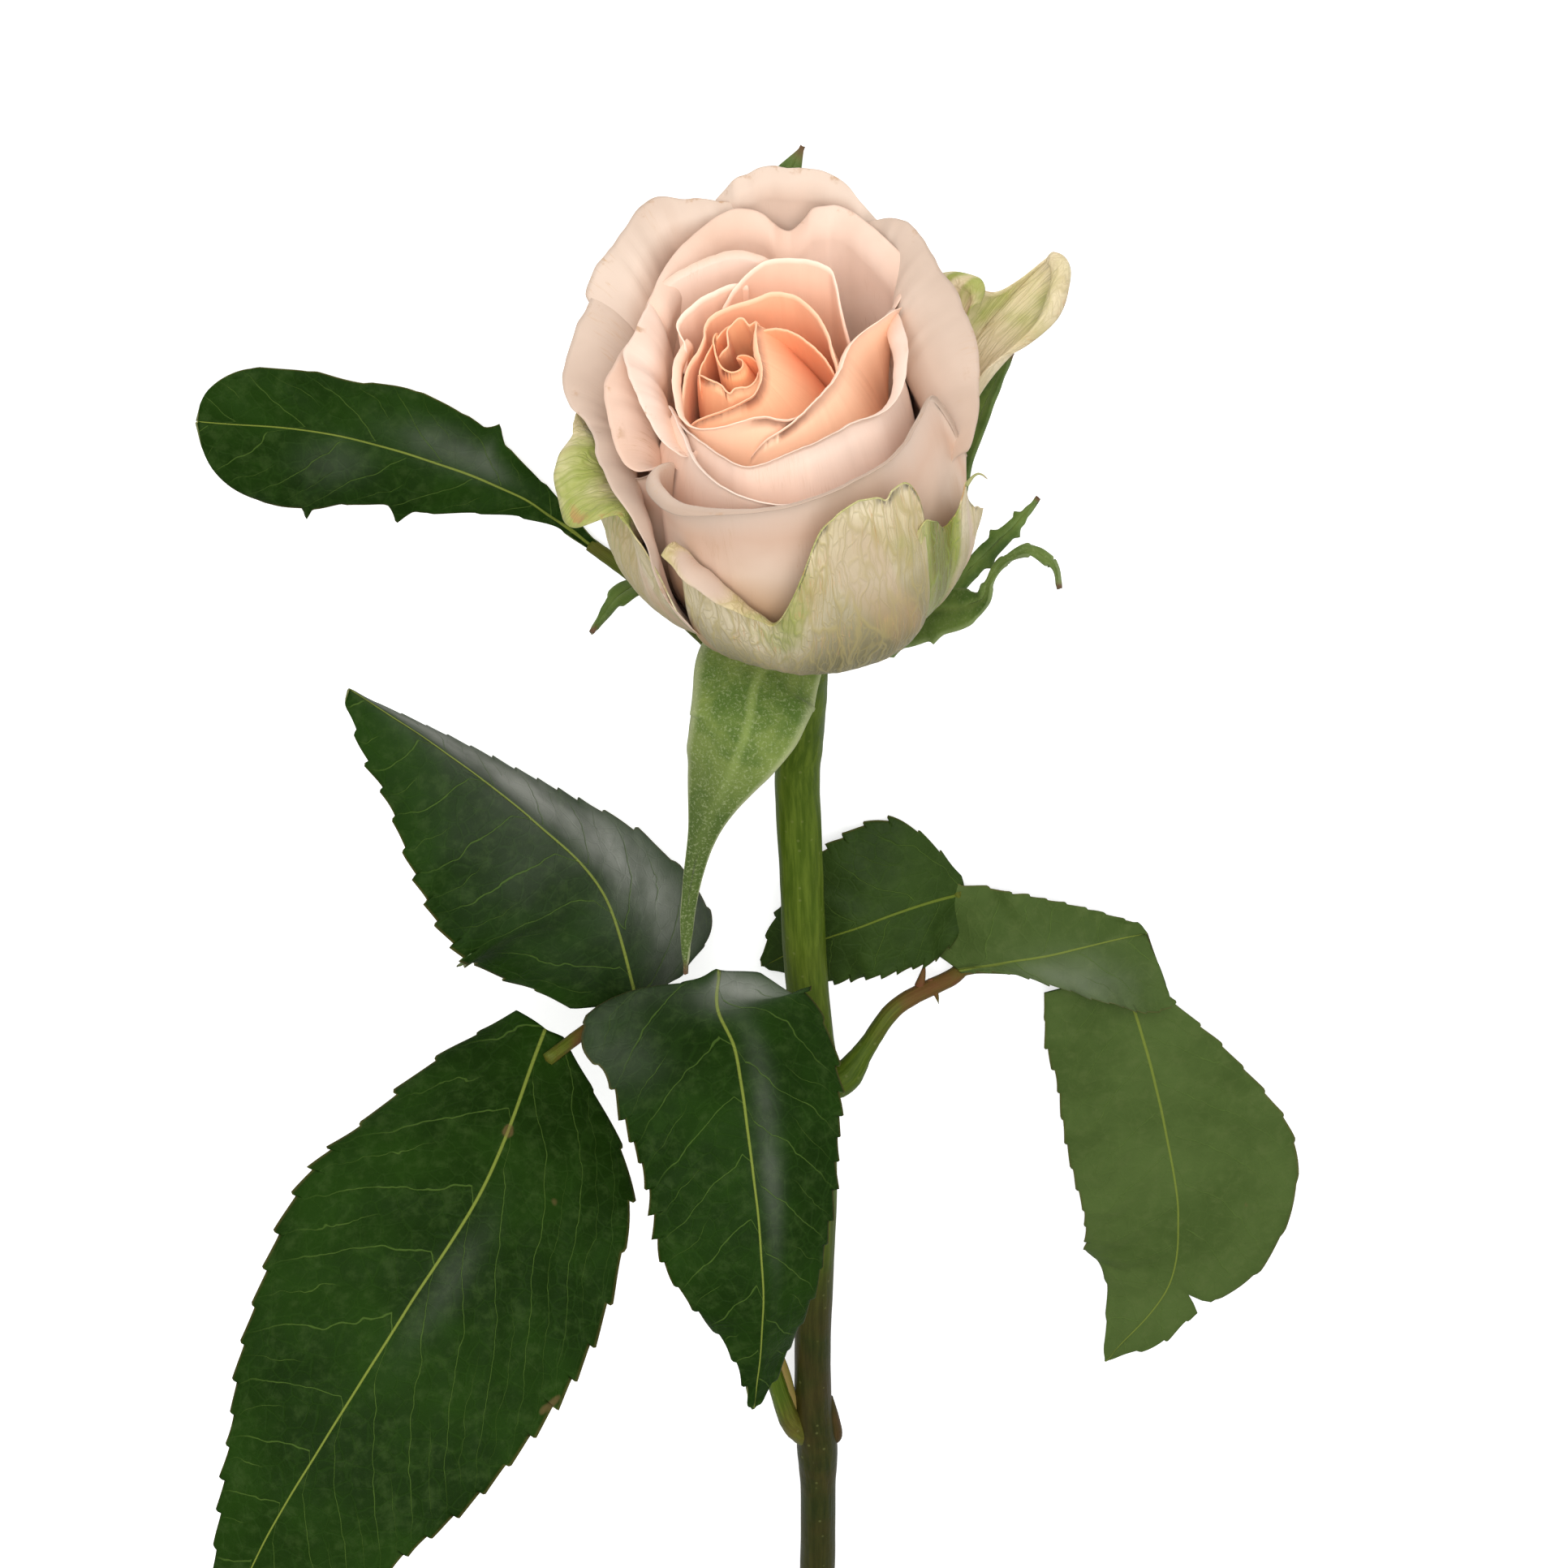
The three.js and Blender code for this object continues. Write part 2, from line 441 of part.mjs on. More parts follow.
const bloomSolid = oneBody([
  bloomHeart(),
  ...[...innerPetals, ...middlePetals, ...outerPetals, ...guardPetals].map(petalSolid),
]);
const calyxSolid = oneBody([
  bar(hip, 18, 8),
  ...sepals.map((sepal) => bladeSolid({ thickness: sepalThickness, across: [-1, 0, 1], ...sepal })),
]);
const stemSolid = slantCut(bar(stemLine, 16, 44));
const leafLeftSolid = seated([
  bar(leftStalk, 6, 22),
  bar(centreStalk, 6, 4),
  ...leftLeaflets.map(bladeSolid),
]);
const leafRightSolid = seated([
  bar(rightStalk, 6, 22),
  bar(behindStalk, 6, 4),
  ...prickles.map((prickle) => bar(prickle, 5, 2)),
  ...rightLeaflets.map(bladeSolid),
]);
const bractSolid = seated([bar(bractStalk, 8, 10), bladeSolid(bractBlade)]);

function meshOf(name, solid, colour, roughness) {
  const { vertProperties, triVerts } = solid.getMesh();
  const geometry = new THREE.BufferGeometry();
  geometry.setAttribute("position", new THREE.BufferAttribute(new Float32Array(vertProperties), 3));
  geometry.setIndex(new THREE.BufferAttribute(new Uint32Array(triVerts), 1));
  geometry.computeVertexNormals();
  const material = new THREE.MeshStandardMaterial({ color: colour, roughness, metalness: 0 });
  const mesh = new THREE.Mesh(geometry, material);
  mesh.name = name;
  return mesh;
}

const rose = new THREE.Group();
rose.rotation.x = radians(-layDownTilt);
rose.position.set(...middle, -tableHeight);
rose.add(
  meshOf("stem", restOnTable(stemSolid), "#4f6a22", 0.55),
  meshOf("calyx", restOnTable(calyxSolid), "#6f8046", 0.7),
  meshOf("bloom", bloomSolid, "#f0cdb4", 0.6),
  meshOf("leaf_left", restOnTable(leafLeftSolid), "#2b4a1e", 0.4),
  meshOf("leaf_right", restOnTable(leafRightSolid), "#54683a", 0.55),
  meshOf("bract_leaf", restOnTable(bractSolid), "#23401a", 0.35),
);

const part = new THREE.Group();
part.add(rose);

export default part;
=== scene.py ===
import math

import bpy
import numpy as np
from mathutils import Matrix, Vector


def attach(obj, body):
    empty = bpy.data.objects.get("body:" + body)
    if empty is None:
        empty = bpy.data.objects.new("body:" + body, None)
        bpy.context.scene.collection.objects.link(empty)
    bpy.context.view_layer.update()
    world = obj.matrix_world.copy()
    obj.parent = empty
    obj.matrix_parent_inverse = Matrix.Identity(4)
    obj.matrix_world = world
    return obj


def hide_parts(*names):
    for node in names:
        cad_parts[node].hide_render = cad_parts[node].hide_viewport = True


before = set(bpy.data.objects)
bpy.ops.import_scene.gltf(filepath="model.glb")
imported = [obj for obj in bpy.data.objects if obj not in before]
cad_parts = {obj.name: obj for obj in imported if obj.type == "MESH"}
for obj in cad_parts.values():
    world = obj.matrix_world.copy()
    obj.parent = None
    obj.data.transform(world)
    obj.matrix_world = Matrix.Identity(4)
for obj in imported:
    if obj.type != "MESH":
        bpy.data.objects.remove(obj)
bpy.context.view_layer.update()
scene = bpy.context.scene
print("rose: frame loaded with", ", ".join(sorted(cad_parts)))

# The rose is drawn upright in millimetres, x right, y up the stem, z towards the eye, and then laid down.
laying = {"tilt": math.radians(27), "shift": (0.35, 85.8, 54.5), "table": 0.02}


def laidDown(points):
    # Turn about x by the tilt, shift, never go below the table top, millimetres to metres.
    x, y, z = points[..., 0], points[..., 1], points[..., 2]
    c, s = math.cos(laying["tilt"]), math.sin(laying["tilt"])
    right, onward, up = laying["shift"]
    height = np.maximum(z * c - y * s + up, laying["table"])
    return np.stack([x + right, y * c + z * s + onward, height], -1) / 1000


def unit(vectors):
    # Each vector over its own length.
    return vectors / np.maximum(np.linalg.norm(vectors, axis=-1, keepdims=True), 1e-9)


def through(values, u):
    # Smooth cubic through evenly spaced values, read at u from 0 to 1.
    values = np.asarray(values, float)
    u = np.asarray(u, float)
    last = len(values) - 1
    place = np.clip(u, 0, 1) * last
    i = np.minimum(place.astype(int), last - 1)
    f = place - i
    if values.ndim > 1:
        f = f[..., None]
    wide = np.concatenate([[2 * values[0] - values[1]], values, [2 * values[-1] - values[-2]]])
    a, b, c, d = (wide[i + k] for k in range(4))
    return b + 0.5 * f * (c - a + f * (2 * a - 5 * b + 4 * c - d + f * (3 * (b - c) + d - a)))


def smooth(low, high, value):
    # 0 below low, 1 above high, and an even S between them.
    f = np.clip((value - low) / (high - low), 0, 1)
    return f * f * (3 - 2 * f)


def wobble(seed, u, waves):
    # Sum of sines in u with random phases and falling strength, about -1 to 1.
    rng = np.random.default_rng(seed)
    total = np.zeros_like(u)
    for k in range(waves):
        total = total + np.sin((2 * k + 3) * 1.7 * u * rng.uniform(0.8, 1.2) + rng.uniform(0, 6.28)) / (k + 1)
    return total / 1.6


def bumps(spots, u, t):
    # Sum of bell curves [u, t, width in u, width in t, strength].
    total = np.zeros_like(t)
    for atU, atT, wideU, wideT, strength in spots:
        total = total + strength * np.exp(-((u - atU) / wideU) ** 2 - ((t - atT) / wideT) ** 2)
    return total


def makePiece(name, shape, materials, nodes, uv, numbers, which=None):
    # Points in upright millimetres become a closed mesh, turned inside out if its volume is negative.
    points, quads, triangles = shape
    place = laidDown(points)
    corners = np.concatenate([quads[:, [0, 1, 2]], quads[:, [0, 2, 3]], triangles])
    a, b, c = (place[corners[:, k]] for k in range(3))
    if np.einsum("ij,ij->", a, np.cross(b, c)) < 0:
        quads, triangles = quads[:, ::-1], triangles[:, ::-1]
    loops = np.concatenate([quads.ravel(), triangles.ravel()]).astype(np.int32)
    starts = np.concatenate([np.arange(len(quads)) * 4, len(quads) * 4 + np.arange(len(triangles)) * 3])
    mesh = bpy.data.meshes.new(name)
    mesh.vertices.add(len(place))
    mesh.vertices.foreach_set("co", place.astype(np.float32).ravel())
    mesh.loops.add(len(loops))
    mesh.loops.foreach_set("vertex_index", loops)
    mesh.polygons.add(len(starts))
    mesh.polygons.foreach_set("loop_start", starts.astype(np.int32))
    mesh.polygons.foreach_set("use_smooth", np.ones(len(starts), bool))
    if which is not None:
        mesh.polygons.foreach_set("material_index", which.astype(np.int32))
    mesh.update(calc_edges=True)
    layer = mesh.uv_layers.new(name="lie")
    layer.data.foreach_set("uv", uv[loops].astype(np.float32).ravel())
    for key, values in numbers.items():
        mesh.attributes.new(key, "FLOAT", "POINT").data.foreach_set("value", values.astype(np.float32))
    for material in materials:
        mesh.materials.append(material)
    piece = bpy.data.objects.new(name, mesh)
    scene.collection.objects.link(piece)
    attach(piece, "root")
    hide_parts(*nodes)


def closedSheet(middle, thickness, outward=1):
    # Middle face moved half the thickness to each side along its normal, and a strip round the rim.
    # The last value says which faces are the top (0), and which the underside and the strip (1).
    along, across = np.gradient(middle, axis=0), np.gradient(middle, axis=1)
    half = unit(np.cross(along, across)) * outward * thickness[..., None] / 2
    points = np.concatenate([(middle + half).reshape(-1, 3), (middle - half).reshape(-1, 3)])
    rows, columns = middle.shape[:2]
    below = rows * columns
    at = np.arange(below).reshape(rows, columns)
    top = np.stack([at[:-1, :-1], at[:-1, 1:], at[1:, 1:], at[1:, :-1]], -1).reshape(-1, 4)
    rim = np.concatenate([at[0, :-1], at[:-1, -1], at[-1, :0:-1], at[:0:-1, 0]])
    onward = np.roll(rim, -1)
    strip = np.stack([onward, rim, rim + below, onward + below], -1)
    quads = np.concatenate([top, top[:, ::-1] + below, strip])
    which = np.concatenate([np.zeros(len(top)), np.ones(len(top) + len(strip))])
    return (points, quads, np.zeros((0, 3), int)), which


def twice(values):
    # The same numbers for the two faces of a closed sheet.
    flat = values.reshape(-1, *values.shape[2:])
    return np.concatenate([flat, flat])


def tube(stations, sides, steps, waver, seed):
    # Rings about a smooth line through stations [x, y, z, radius]; waver is the share the radius wanders.
    stations = np.asarray(stations, float)
    t = np.linspace(0, 1, steps + 1)
    line = through(stations[:, :3], t)
    tangent = unit(np.gradient(line, axis=0))
    side = unit(np.cross(tangent, np.broadcast_to([0.0, 0.25, 1.0], tangent.shape)))
    lift = np.cross(side, tangent)
    angle = np.linspace(0, 2 * math.pi, sides, endpoint=False)
    radius = through(stations[:, 3], t)[:, None] * np.ones(sides)
    radius = radius * (1 + waver * wobble(seed, t[:, None] * 20 + np.cos(angle) * 0.6, 4))
    ring = (
        line[:, None]
        + side[:, None] * (radius * np.cos(angle))[..., None]
        + lift[:, None] * (radius * np.sin(angle))[..., None]
    )
    return t, angle, line, tangent, ring


def closedTube(ring, first, last):
    # Rings joined by quads, and fans to the first and the last point.
    steps, sides = ring.shape[:2]
    points = np.concatenate([ring.reshape(-1, 3), [first], [last]])
    at = np.arange(steps * sides).reshape(steps, sides)
    onward = np.roll(at, -1, axis=1)
    quads = np.stack([at[:-1], onward[:-1], onward[1:], at[1:]], -1).reshape(-1, 4)
    pole = steps * sides
    start = np.stack([np.full(sides, pole), onward[0], at[0]], -1)
    end = np.stack([np.full(sides, pole + 1), at[-1], onward[-1]], -1)
    return points, quads, np.concatenate([start, end])


def ringNumbers(values, sides):
    # One value for each ring, given to all its points, and the end values to the two poles.
    return np.concatenate([np.repeat(values, sides), [values[0], values[-1]]])


def tubeMap(angle, way, length):
    # Once round by the way along; the poles lie in the middle.
    turn, along = np.meshgrid(angle / (2 * math.pi), way)
    turn = np.concatenate([turn.ravel(), [0.5, 0.5]])
    along = np.concatenate([along.ravel() * length, [0, length]])
    return np.stack([turn, along], -1)


def colour(red, green, blue):
    # Screen colour from 0 to 255 to linear, with full alpha.
    def linear(v):
        v = v / 255
        return v / 12.92 if v <= 0.04045 else ((v + 0.055) / 1.055) ** 2.4
    return (linear(red), linear(green), linear(blue), 1.0)


class Wire:
    # A node's output; + - * and abs on it are Math nodes.
    def __init__(self, finish, socket):
        self.finish, self.socket = finish, socket

    def __add__(self, other):
        return self.finish.math("ADD", self, other)

    def __sub__(self, other):
        return self.finish.math("SUBTRACT", self, other)

    def __mul__(self, other):
        return self.finish.math("MULTIPLY", self, other)

    def __abs__(self):
        return self.finish.math("ABSOLUTE", self)


class Finish:
    # A node material: add() makes a node, sets or joins its inputs and gives back its output.
    def __init__(self, name):
        self.material = bpy.data.materials.new(name)
        self.material.use_nodes = True
        self.tree = self.material.node_tree

    def join(self, socket, value):
        if isinstance(value, Wire):
            self.tree.links.new(value.socket, socket)
        else:
            socket.default_value = value

    def add(self, kind, inputs=None, output=0, **settings):
        node = self.tree.nodes.new("ShaderNode" + kind)
        for key, value in settings.items():
            setattr(node, key, value)
        for key, value in (inputs or {}).items():
            self.join(node.inputs[key], value)
        return Wire(self, node.outputs[output])

    def close(self, inputs):
        shader = self.tree.nodes["Principled BSDF"]
        for key, value in inputs.items():
            self.join(shader.inputs[key], value)
        return self.material

    def math(self, operation, a, b=0.0, c=0.0):
        return self.add("Math", {0: a, 1: b, 2: c}, operation=operation)

    def mix(self, factor, first, second):
        # Two paints, each a wire or a screen colour.
        paints = [colour(*v) if isinstance(v, tuple) else v for v in (first, second)]
        return self.add("Mix", {0: factor, 6: paints[0], 7: paints[1]}, 2, data_type="RGBA")

    def ramp(self, value, low, high, toLow=0.0, toHigh=1.0):
        return self.add("MapRange", {0: value, 1: low, 2: high, 3: toLow, 4: toHigh},
                        interpolation_type="SMOOTHSTEP")

    def number(self, name):
        return self.add("Attribute", None, "Fac", attribute_name=name)

    def place(self):
        return self.add("TexCoord", None, "Object")

    def lie(self):
        return self.add("UVMap", None, uv_map="lie")

    def noise(self, vector, scale, detail=3.0, roughness=0.5, stretch=(1, 1, 1), output=0, offset=(0, 0, 0)):
        moved = self.add("Mapping", {0: vector, 1: offset, 3: stretch})
        return self.add("TexNoise", {"Vector": moved, "Scale": scale, "Detail": detail,
                                     "Roughness": roughness}, output)

    def warped(self, vector, scale, reach):
        # The vector pushed about by a coloured noise.
        push = self.add("VectorMath", {0: self.noise(vector, scale, 2, output=1), "Scale": reach},
                        operation="SCALE")
        return self.add("VectorMath", {0: vector, 1: push}, operation="ADD")

    def cells(self, vector, scale, low, high):
        # The lines between Voronoi cells: 1 up to low from a line, 0 past high.
        edge = self.add("TexVoronoi", {"Vector": vector, "Scale": scale}, "Distance",
                        feature="DISTANCE_TO_EDGE")
        return self.ramp(edge, low, high, 1, 0)

    def bump(self, height, distance, strength):
        return self.add("Bump", {"Height": height, "Distance": distance, "Strength": strength})


# Stops run from painted shade in mauve-cream to deep peach; of each pair the noise picks a shade between the
# two.
petalPaint = {
    "stops": [
        (0.0, (188, 163, 144)), (0.086, (222, 200, 182)), (0.17, (224, 190, 168)), (0.25, (252, 230, 214)),
        (0.34, (255, 224, 203)), (0.5, (255, 208, 174)), (0.72, (255, 190, 145)), (1.0, (255, 158, 92))],
    "topTone": 1.4, "cream": [(232, 217, 184), (204, 186, 142)], "leafy": [(188, 186, 116), (158, 163, 86)],
    # the two base shades are painted shade, browner on a petal and olive on a guard
    "deepGreen": (112, 114, 32), "paintedShadePetal": (168, 124, 66), "paintedShadeGuard": (114, 106, 66),
    "foot": (158, 162, 102), "tanVein": (198, 156, 108), "nick": (176, 128, 78),
    "netCream": (172, 156, 98), "netGreen": (134, 148, 60),
}


def petalFinish(paints):
    # Colour from the tone number; green patches, veins, painted shade at the base and brown nicks by the
    # piece's other numbers.
    f = Finish("petalSkin")
    place, lie = f.place(), f.lie()
    tone, green, veined, rim, paintedShade = (f.number(n) for n in ("tone", "green", "veined", "rim", "paintedShade"))
    patch = f.noise(place, 90, 3)
    ramp = f.add("ValToRGB", {0: f.math("DIVIDE", tone + (patch - 0.5) * 0.12, paints["topTone"])})
    elements = ramp.socket.node.color_ramp.elements
    for spot, paint in paints["stops"][2:]:
        elements.new(spot)
    for element, (spot, paint) in zip(elements, paints["stops"]):
        element.position, element.color = spot, colour(*paint)
    isGuard = f.ramp(green, 0.0, 0.25)
    spread = f.noise(place, 150, 4, 0.6) - 0.5
    greenPatch = f.ramp(green + spread, 0.35, 1.0) * isGuard
    paint = f.mix(isGuard, ramp, f.mix(f.ramp(f.noise(place, 70, 3), 0.35, 0.65), *paints["cream"]))
    paint = f.mix(greenPatch, paint, f.mix(f.ramp(f.noise(place, 60), 0.4, 0.6), *paints["leafy"]))
    paint = f.mix(f.ramp(green + spread * 0.5, 1.1, 1.9), paint, paints["deepGreen"])
    # painted shade over the lower part of the petal, towards its base
    paint = f.mix(paintedShade, paint, f.mix(isGuard, paints["paintedShadePetal"], paints["paintedShadeGuard"]))
    paint = f.mix(f.ramp(f.add("SeparateXYZ", {0: lie}, "Y"), 0.07, 0.18, 0.85, 0), paint, paints["foot"])
    # sparse tan veins that run with the petal, and a drawn-out net on the guards
    streak = f.noise(lie, 1, 3, 0.6, (60, 4, 1))
    sparse = f.ramp(f.noise(place, 110, 2), 0.5, 0.66)
    tan = f.ramp(abs(streak - 0.5), 0.0, 0.02, 1, 0) * veined * (sparse * 0.8)
    paint = f.mix(tan, paint, paints["tanVein"])
    bent = f.warped(lie, 9, 0.1)
    veinLine = f.cells(f.add("Mapping", {0: bent, 3: (20, 7, 1)}), 1.0, 0.0, 0.1)
    smallLine = f.cells(f.add("Mapping", {0: bent, 3: (46, 20, 1)}), 1.0, 0.0, 0.12)
    netLine = f.math("MAXIMUM", veinLine, smallLine * 0.6)
    netPaint = f.mix(greenPatch, paints["netCream"], paints["netGreen"])
    paint = f.mix(netLine * veined * (isGuard * 0.6), paint, netPaint)
    # brown nicks and specks along the rim
    nick = f.ramp(f.noise(place, 230, 4, 0.65), 0.57, 0.66)
    paint = f.mix(nick * f.ramp(rim, 0.92, 1.0) * (veined * 0.8), paint, paints["nick"])
    crumple = f.math("MULTIPLY_ADD", netLine, 1.2, f.noise(lie, 1, 2, 0.6, (30, 16, 1)) * 3.0)
    height = streak * 0.3 + f.noise(place, 260, 2, 0.55) * 0.5 + crumple * isGuard
    return f.close({"Base Color": paint, "Roughness": f.ramp(patch, 0, 1, 0.5, 0.66),
                    "Normal": f.bump(height, 0.0003, 0.35), "Specular IOR Level": 0.25,
                    "Sheen Weight": 0.08, "Sheen Roughness": 0.5})


# tones: two blotches, flecks, nets, side veins, midrib. gloss: two roughnesses, specular level.
# veins: strength of the fine net, the net, the side veins and the midrib. relief: of veins, net, fine net.
leafPaints = {
    "leafTopDark": {
        "tones": [(20, 40, 5), (29, 54, 9), (56, 76, 34), (42, 68, 21), (72, 96, 38), (118, 130, 54)],
        "gloss": (0.46, 0.58, 0.04), "veins": (0.08, 0.22, 0.7, 0.95), "relief": (-0.7, -0.25, -0.1)},
    "leafUnderDark": {
        "tones": [(84, 104, 60), (98, 116, 70), (110, 124, 80), (118, 134, 86), (134, 144, 90),
                  (158, 162, 102)],
        "gloss": (0.58, 0.66, 0.35), "veins": (0.15, 0.35, 0.8, 1.0), "relief": (0.9, 0.4, 0.15)},
    "leafTopMatt": {
        "tones": [(36, 54, 14), (46, 66, 20), (58, 76, 32), (58, 80, 30), (68, 90, 32), (96, 110, 36)],
        "gloss": (0.5, 0.6, 0.1), "veins": (0.08, 0.2, 0.6, 0.9), "relief": (-0.7, -0.25, -0.1)},
    "leafUnderPale": {
        "tones": [(62, 80, 34), (74, 92, 44), (84, 98, 52), (80, 98, 48), (82, 104, 46), (116, 128, 50)],
        "gloss": (0.6, 0.7, 0.08), "veins": (0.06, 0.14, 0.5, 0.7), "relief": (0.4, 0.15, 0.06)},
}
# The grey is a painted highlight; scar and margin are browns of the leaf itself.
leafMarks = {"paintedHighlight": (144, 146, 138), "scar": (112, 88, 58), "margin": (120, 104, 60)}


def leafFinish(name, tones, gloss, veins, relief):
    # Blotched green, a pale midrib, side veins that follow the vein numbers with thinner ones between them
    # near the margin, two nets of fine veins, and a painted grey highlight, the sheen of the glossy leaf,
    # where its number says.
    f = Finish(name)
    place = f.place()
    rib, phase, edge, along, paintedHighlight = (f.number(n) for n in ("ribWay", "veinWay", "edge", "along", "paintedHighlight"))
    bend = (f.noise(place, 60, 2) - 0.5) * 0.7 + (f.noise(place, 260, 2) - 0.5) * 0.22
    sideLines = []
    for shift, width, start in ((0.0, 0.018, -1.0), (0.5, 0.012, 0.42)):
        way = f.math("FRACT", phase + shift + bend * (1 + shift))
        line = f.ramp(abs(way - 0.5), width * 0.4, width, 1, 0)
        sideLines.append(line * (f.ramp(edge, start, start + 0.2) * f.ramp(edge, 0.6, 1.0, 1, 0.1)))
    sideLine = f.math("MAXIMUM", *sideLines)
    midWidth = f.math("MULTIPLY_ADD", along, -0.22, 0.34)
    midLine = f.ramp(rib, midWidth * 0.45, midWidth, 1, 0)
    mainLine = f.math("MAXIMUM", sideLine, midLine)
    warped = f.warped(place, 300, 0.0012)
    netLine, fineLine = f.cells(warped, 330, 0.01, 0.06), f.cells(warped, 900, 0.0, 0.12)
    blotch = f.noise(place, 55, 4, 0.6)
    paint = f.mix(f.ramp(blotch, 0.36, 0.66), tones[0], tones[1])
    paint = f.mix(f.ramp(f.noise(place, 420, 4, 0.65), 0.46, 0.72, 0, 0.4), paint, tones[2])
    for line, strength, tone in zip((fineLine, netLine, sideLine, midLine), veins, (3, 3, 4, 5)):
        paint = f.mix(line * strength, paint, tones[tone])
    # painted highlight: grey sheen on the glossy blade, weaker over the veins
    paintedHighlightMask = paintedHighlight * f.ramp(f.noise(place, 90, 3, 0.6), 0.3, 0.6, 0.5, 1) * f.ramp(mainLine, 0, 1, 1, 0.5)
    paint = f.mix(f.math("MINIMUM", paintedHighlightMask, 1.0), paint, leafMarks["paintedHighlight"])
    scar = f.ramp(f.noise(place, 140, 2, 0.4, offset=(0.3, 0.1, 0.7)), 0.76, 0.79)
    paint = f.mix(scar * 0.5, paint, leafMarks["scar"])
    paint = f.mix(f.ramp(edge, 0.975, 1.0, 0, 0.35), paint, leafMarks["margin"])
    height = (mainLine * relief[0] + netLine * relief[1] + fineLine * relief[2]
              + f.noise(place, 700, 1) * 0.3)
    rough = f.ramp(blotch, 0.3, 0.7, gloss[0], gloss[1]) + netLine * 0.06
    return f.close({"Base Color": paint, "Roughness": rough, "Normal": f.bump(height, 0.0002, 0.8),
                    "Specular IOR Level": gloss[2]})


# Each pair is the two shades of one streaky or mottled layer.
stemPaint = {
    "upper": [(62, 82, 12), (86, 104, 28)], "lower": [(34, 42, 6), (50, 54, 16)], "blush": (104, 62, 38),
    "dry": [(166, 142, 84), (120, 108, 48)], "cut": [(214, 212, 168), (176, 178, 118)],
    "dots": (128, 132, 78),
}


def stemFinish(paints):
    # Green above, brown-green where the low number says, long fine streaks, small pale dots, a pale cut.
    f = Finish("stemBark")
    place, lie = f.place(), f.lie()
    low, cut, skin, dry = (f.number(n) for n in ("low", "cut", "blush", "dry"))
    streak = f.noise(lie, 1, 4, 0.6, (26, 2.5, 1))
    streaky = f.ramp(streak, 0.35, 0.7)
    lowness = f.ramp(low + (f.noise(place, 45) - 0.5) * 0.5, 0.35, 0.75)
    paint = f.mix(lowness, f.mix(streaky, *paints["upper"]), f.mix(streaky, *paints["lower"]))
    paint = f.mix(skin * f.ramp(f.noise(place, 120), 0.3, 0.65), paint, paints["blush"])
    paint = f.mix(dry, paint, f.mix(f.ramp(streak, 0.35, 0.65), *paints["dry"]))
    dots = f.add("TexVoronoi", {"Vector": place, "Scale": 520}, "Distance")
    paint = f.mix(f.ramp(dots, 0.08, 0.16, 0.25, 0), paint, paints["dots"])
    paint = f.mix(cut, paint, f.mix(f.noise(place, 900), *paints["cut"]))
    height = streak * 0.7 + f.noise(place, 800, 1) * 0.3
    return f.close({"Base Color": paint, "Roughness": f.ramp(streak, 0.3, 0.7, 0.42, 0.55),
                    "Normal": f.bump(height, 0.0004, 0.5), "Specular IOR Level": 0.12})


sepalPaint = {
    "downy": [(80, 104, 40), (122, 138, 68)], "bare": [(52, 80, 26), (82, 108, 44)], "rib": (150, 166, 92),
    "shaded": (60, 80, 28), "margin": (178, 182, 140), "hair": (176, 184, 138), "tip": (104, 62, 52),
    "sheen": (214, 222, 186),
}


def sepalFinish(paints):
    # Downy grey-green with a bright rib, darker patches, painted shade towards the tip, pale margins and a
    # purple tip.
    f = Finish("sepalDown")
    place, lie = f.place(), f.lie()
    rib, edge, along, downy = (f.number(n) for n in ("ribWay", "edge", "along", "downy"))
    blotched = f.ramp(f.noise(place, 130, 4, 0.6), 0.36, 0.64)
    down = f.math("MULTIPLY_ADD", downy, 0.8, 0.2)
    hair = f.noise(place, 2600, 2, 0.7)
    paint = f.mix(downy, f.mix(blotched, *paints["bare"]), f.mix(blotched, *paints["downy"]))
    paint = f.mix(f.ramp(rib, 0.1, 1.0, 0.5, 0) * down, paint, paints["rib"])
    # painted shade that grows along the downy sepal towards its tip
    paint = f.mix(f.ramp(along, 0.25, 0.75, 0, 0.85) * downy, paint, paints["shaded"])
    paint = f.mix(f.ramp(edge, 0.8, 1.0, 0, 0.6) * downy, paint, paints["margin"])
    paint = f.mix(f.ramp(hair, 0.5, 0.7, 0, 0.35) * downy, paint, paints["hair"])
    paint = f.mix(f.ramp(along, 0.955, 1.0, 0, 0.8), paint, paints["tip"])
    height = hair * down + f.noise(lie, 1, 3, 0.6, (60, 8, 1)) * 0.5
    return f.close({"Base Color": paint, "Roughness": f.math("MULTIPLY_ADD", downy, 0.25, 0.5),
                    "Normal": f.bump(height, 0.0003, 0.6), "Specular IOR Level": 0.2,
                    "Sheen Weight": 0.3, "Sheen Roughness": 0.4, "Sheen Tint": colour(*paints["sheen"])})


darkTop, darkUnder, paleTop, paleUnder = (leafFinish(name, **paints) for name, paints in leafPaints.items())
petalSkin = petalFinish(petalPaint)
stemBark = stemFinish(stemPaint)
sepalDown = sepalFinish(sepalPaint)
print("rose: materials made")

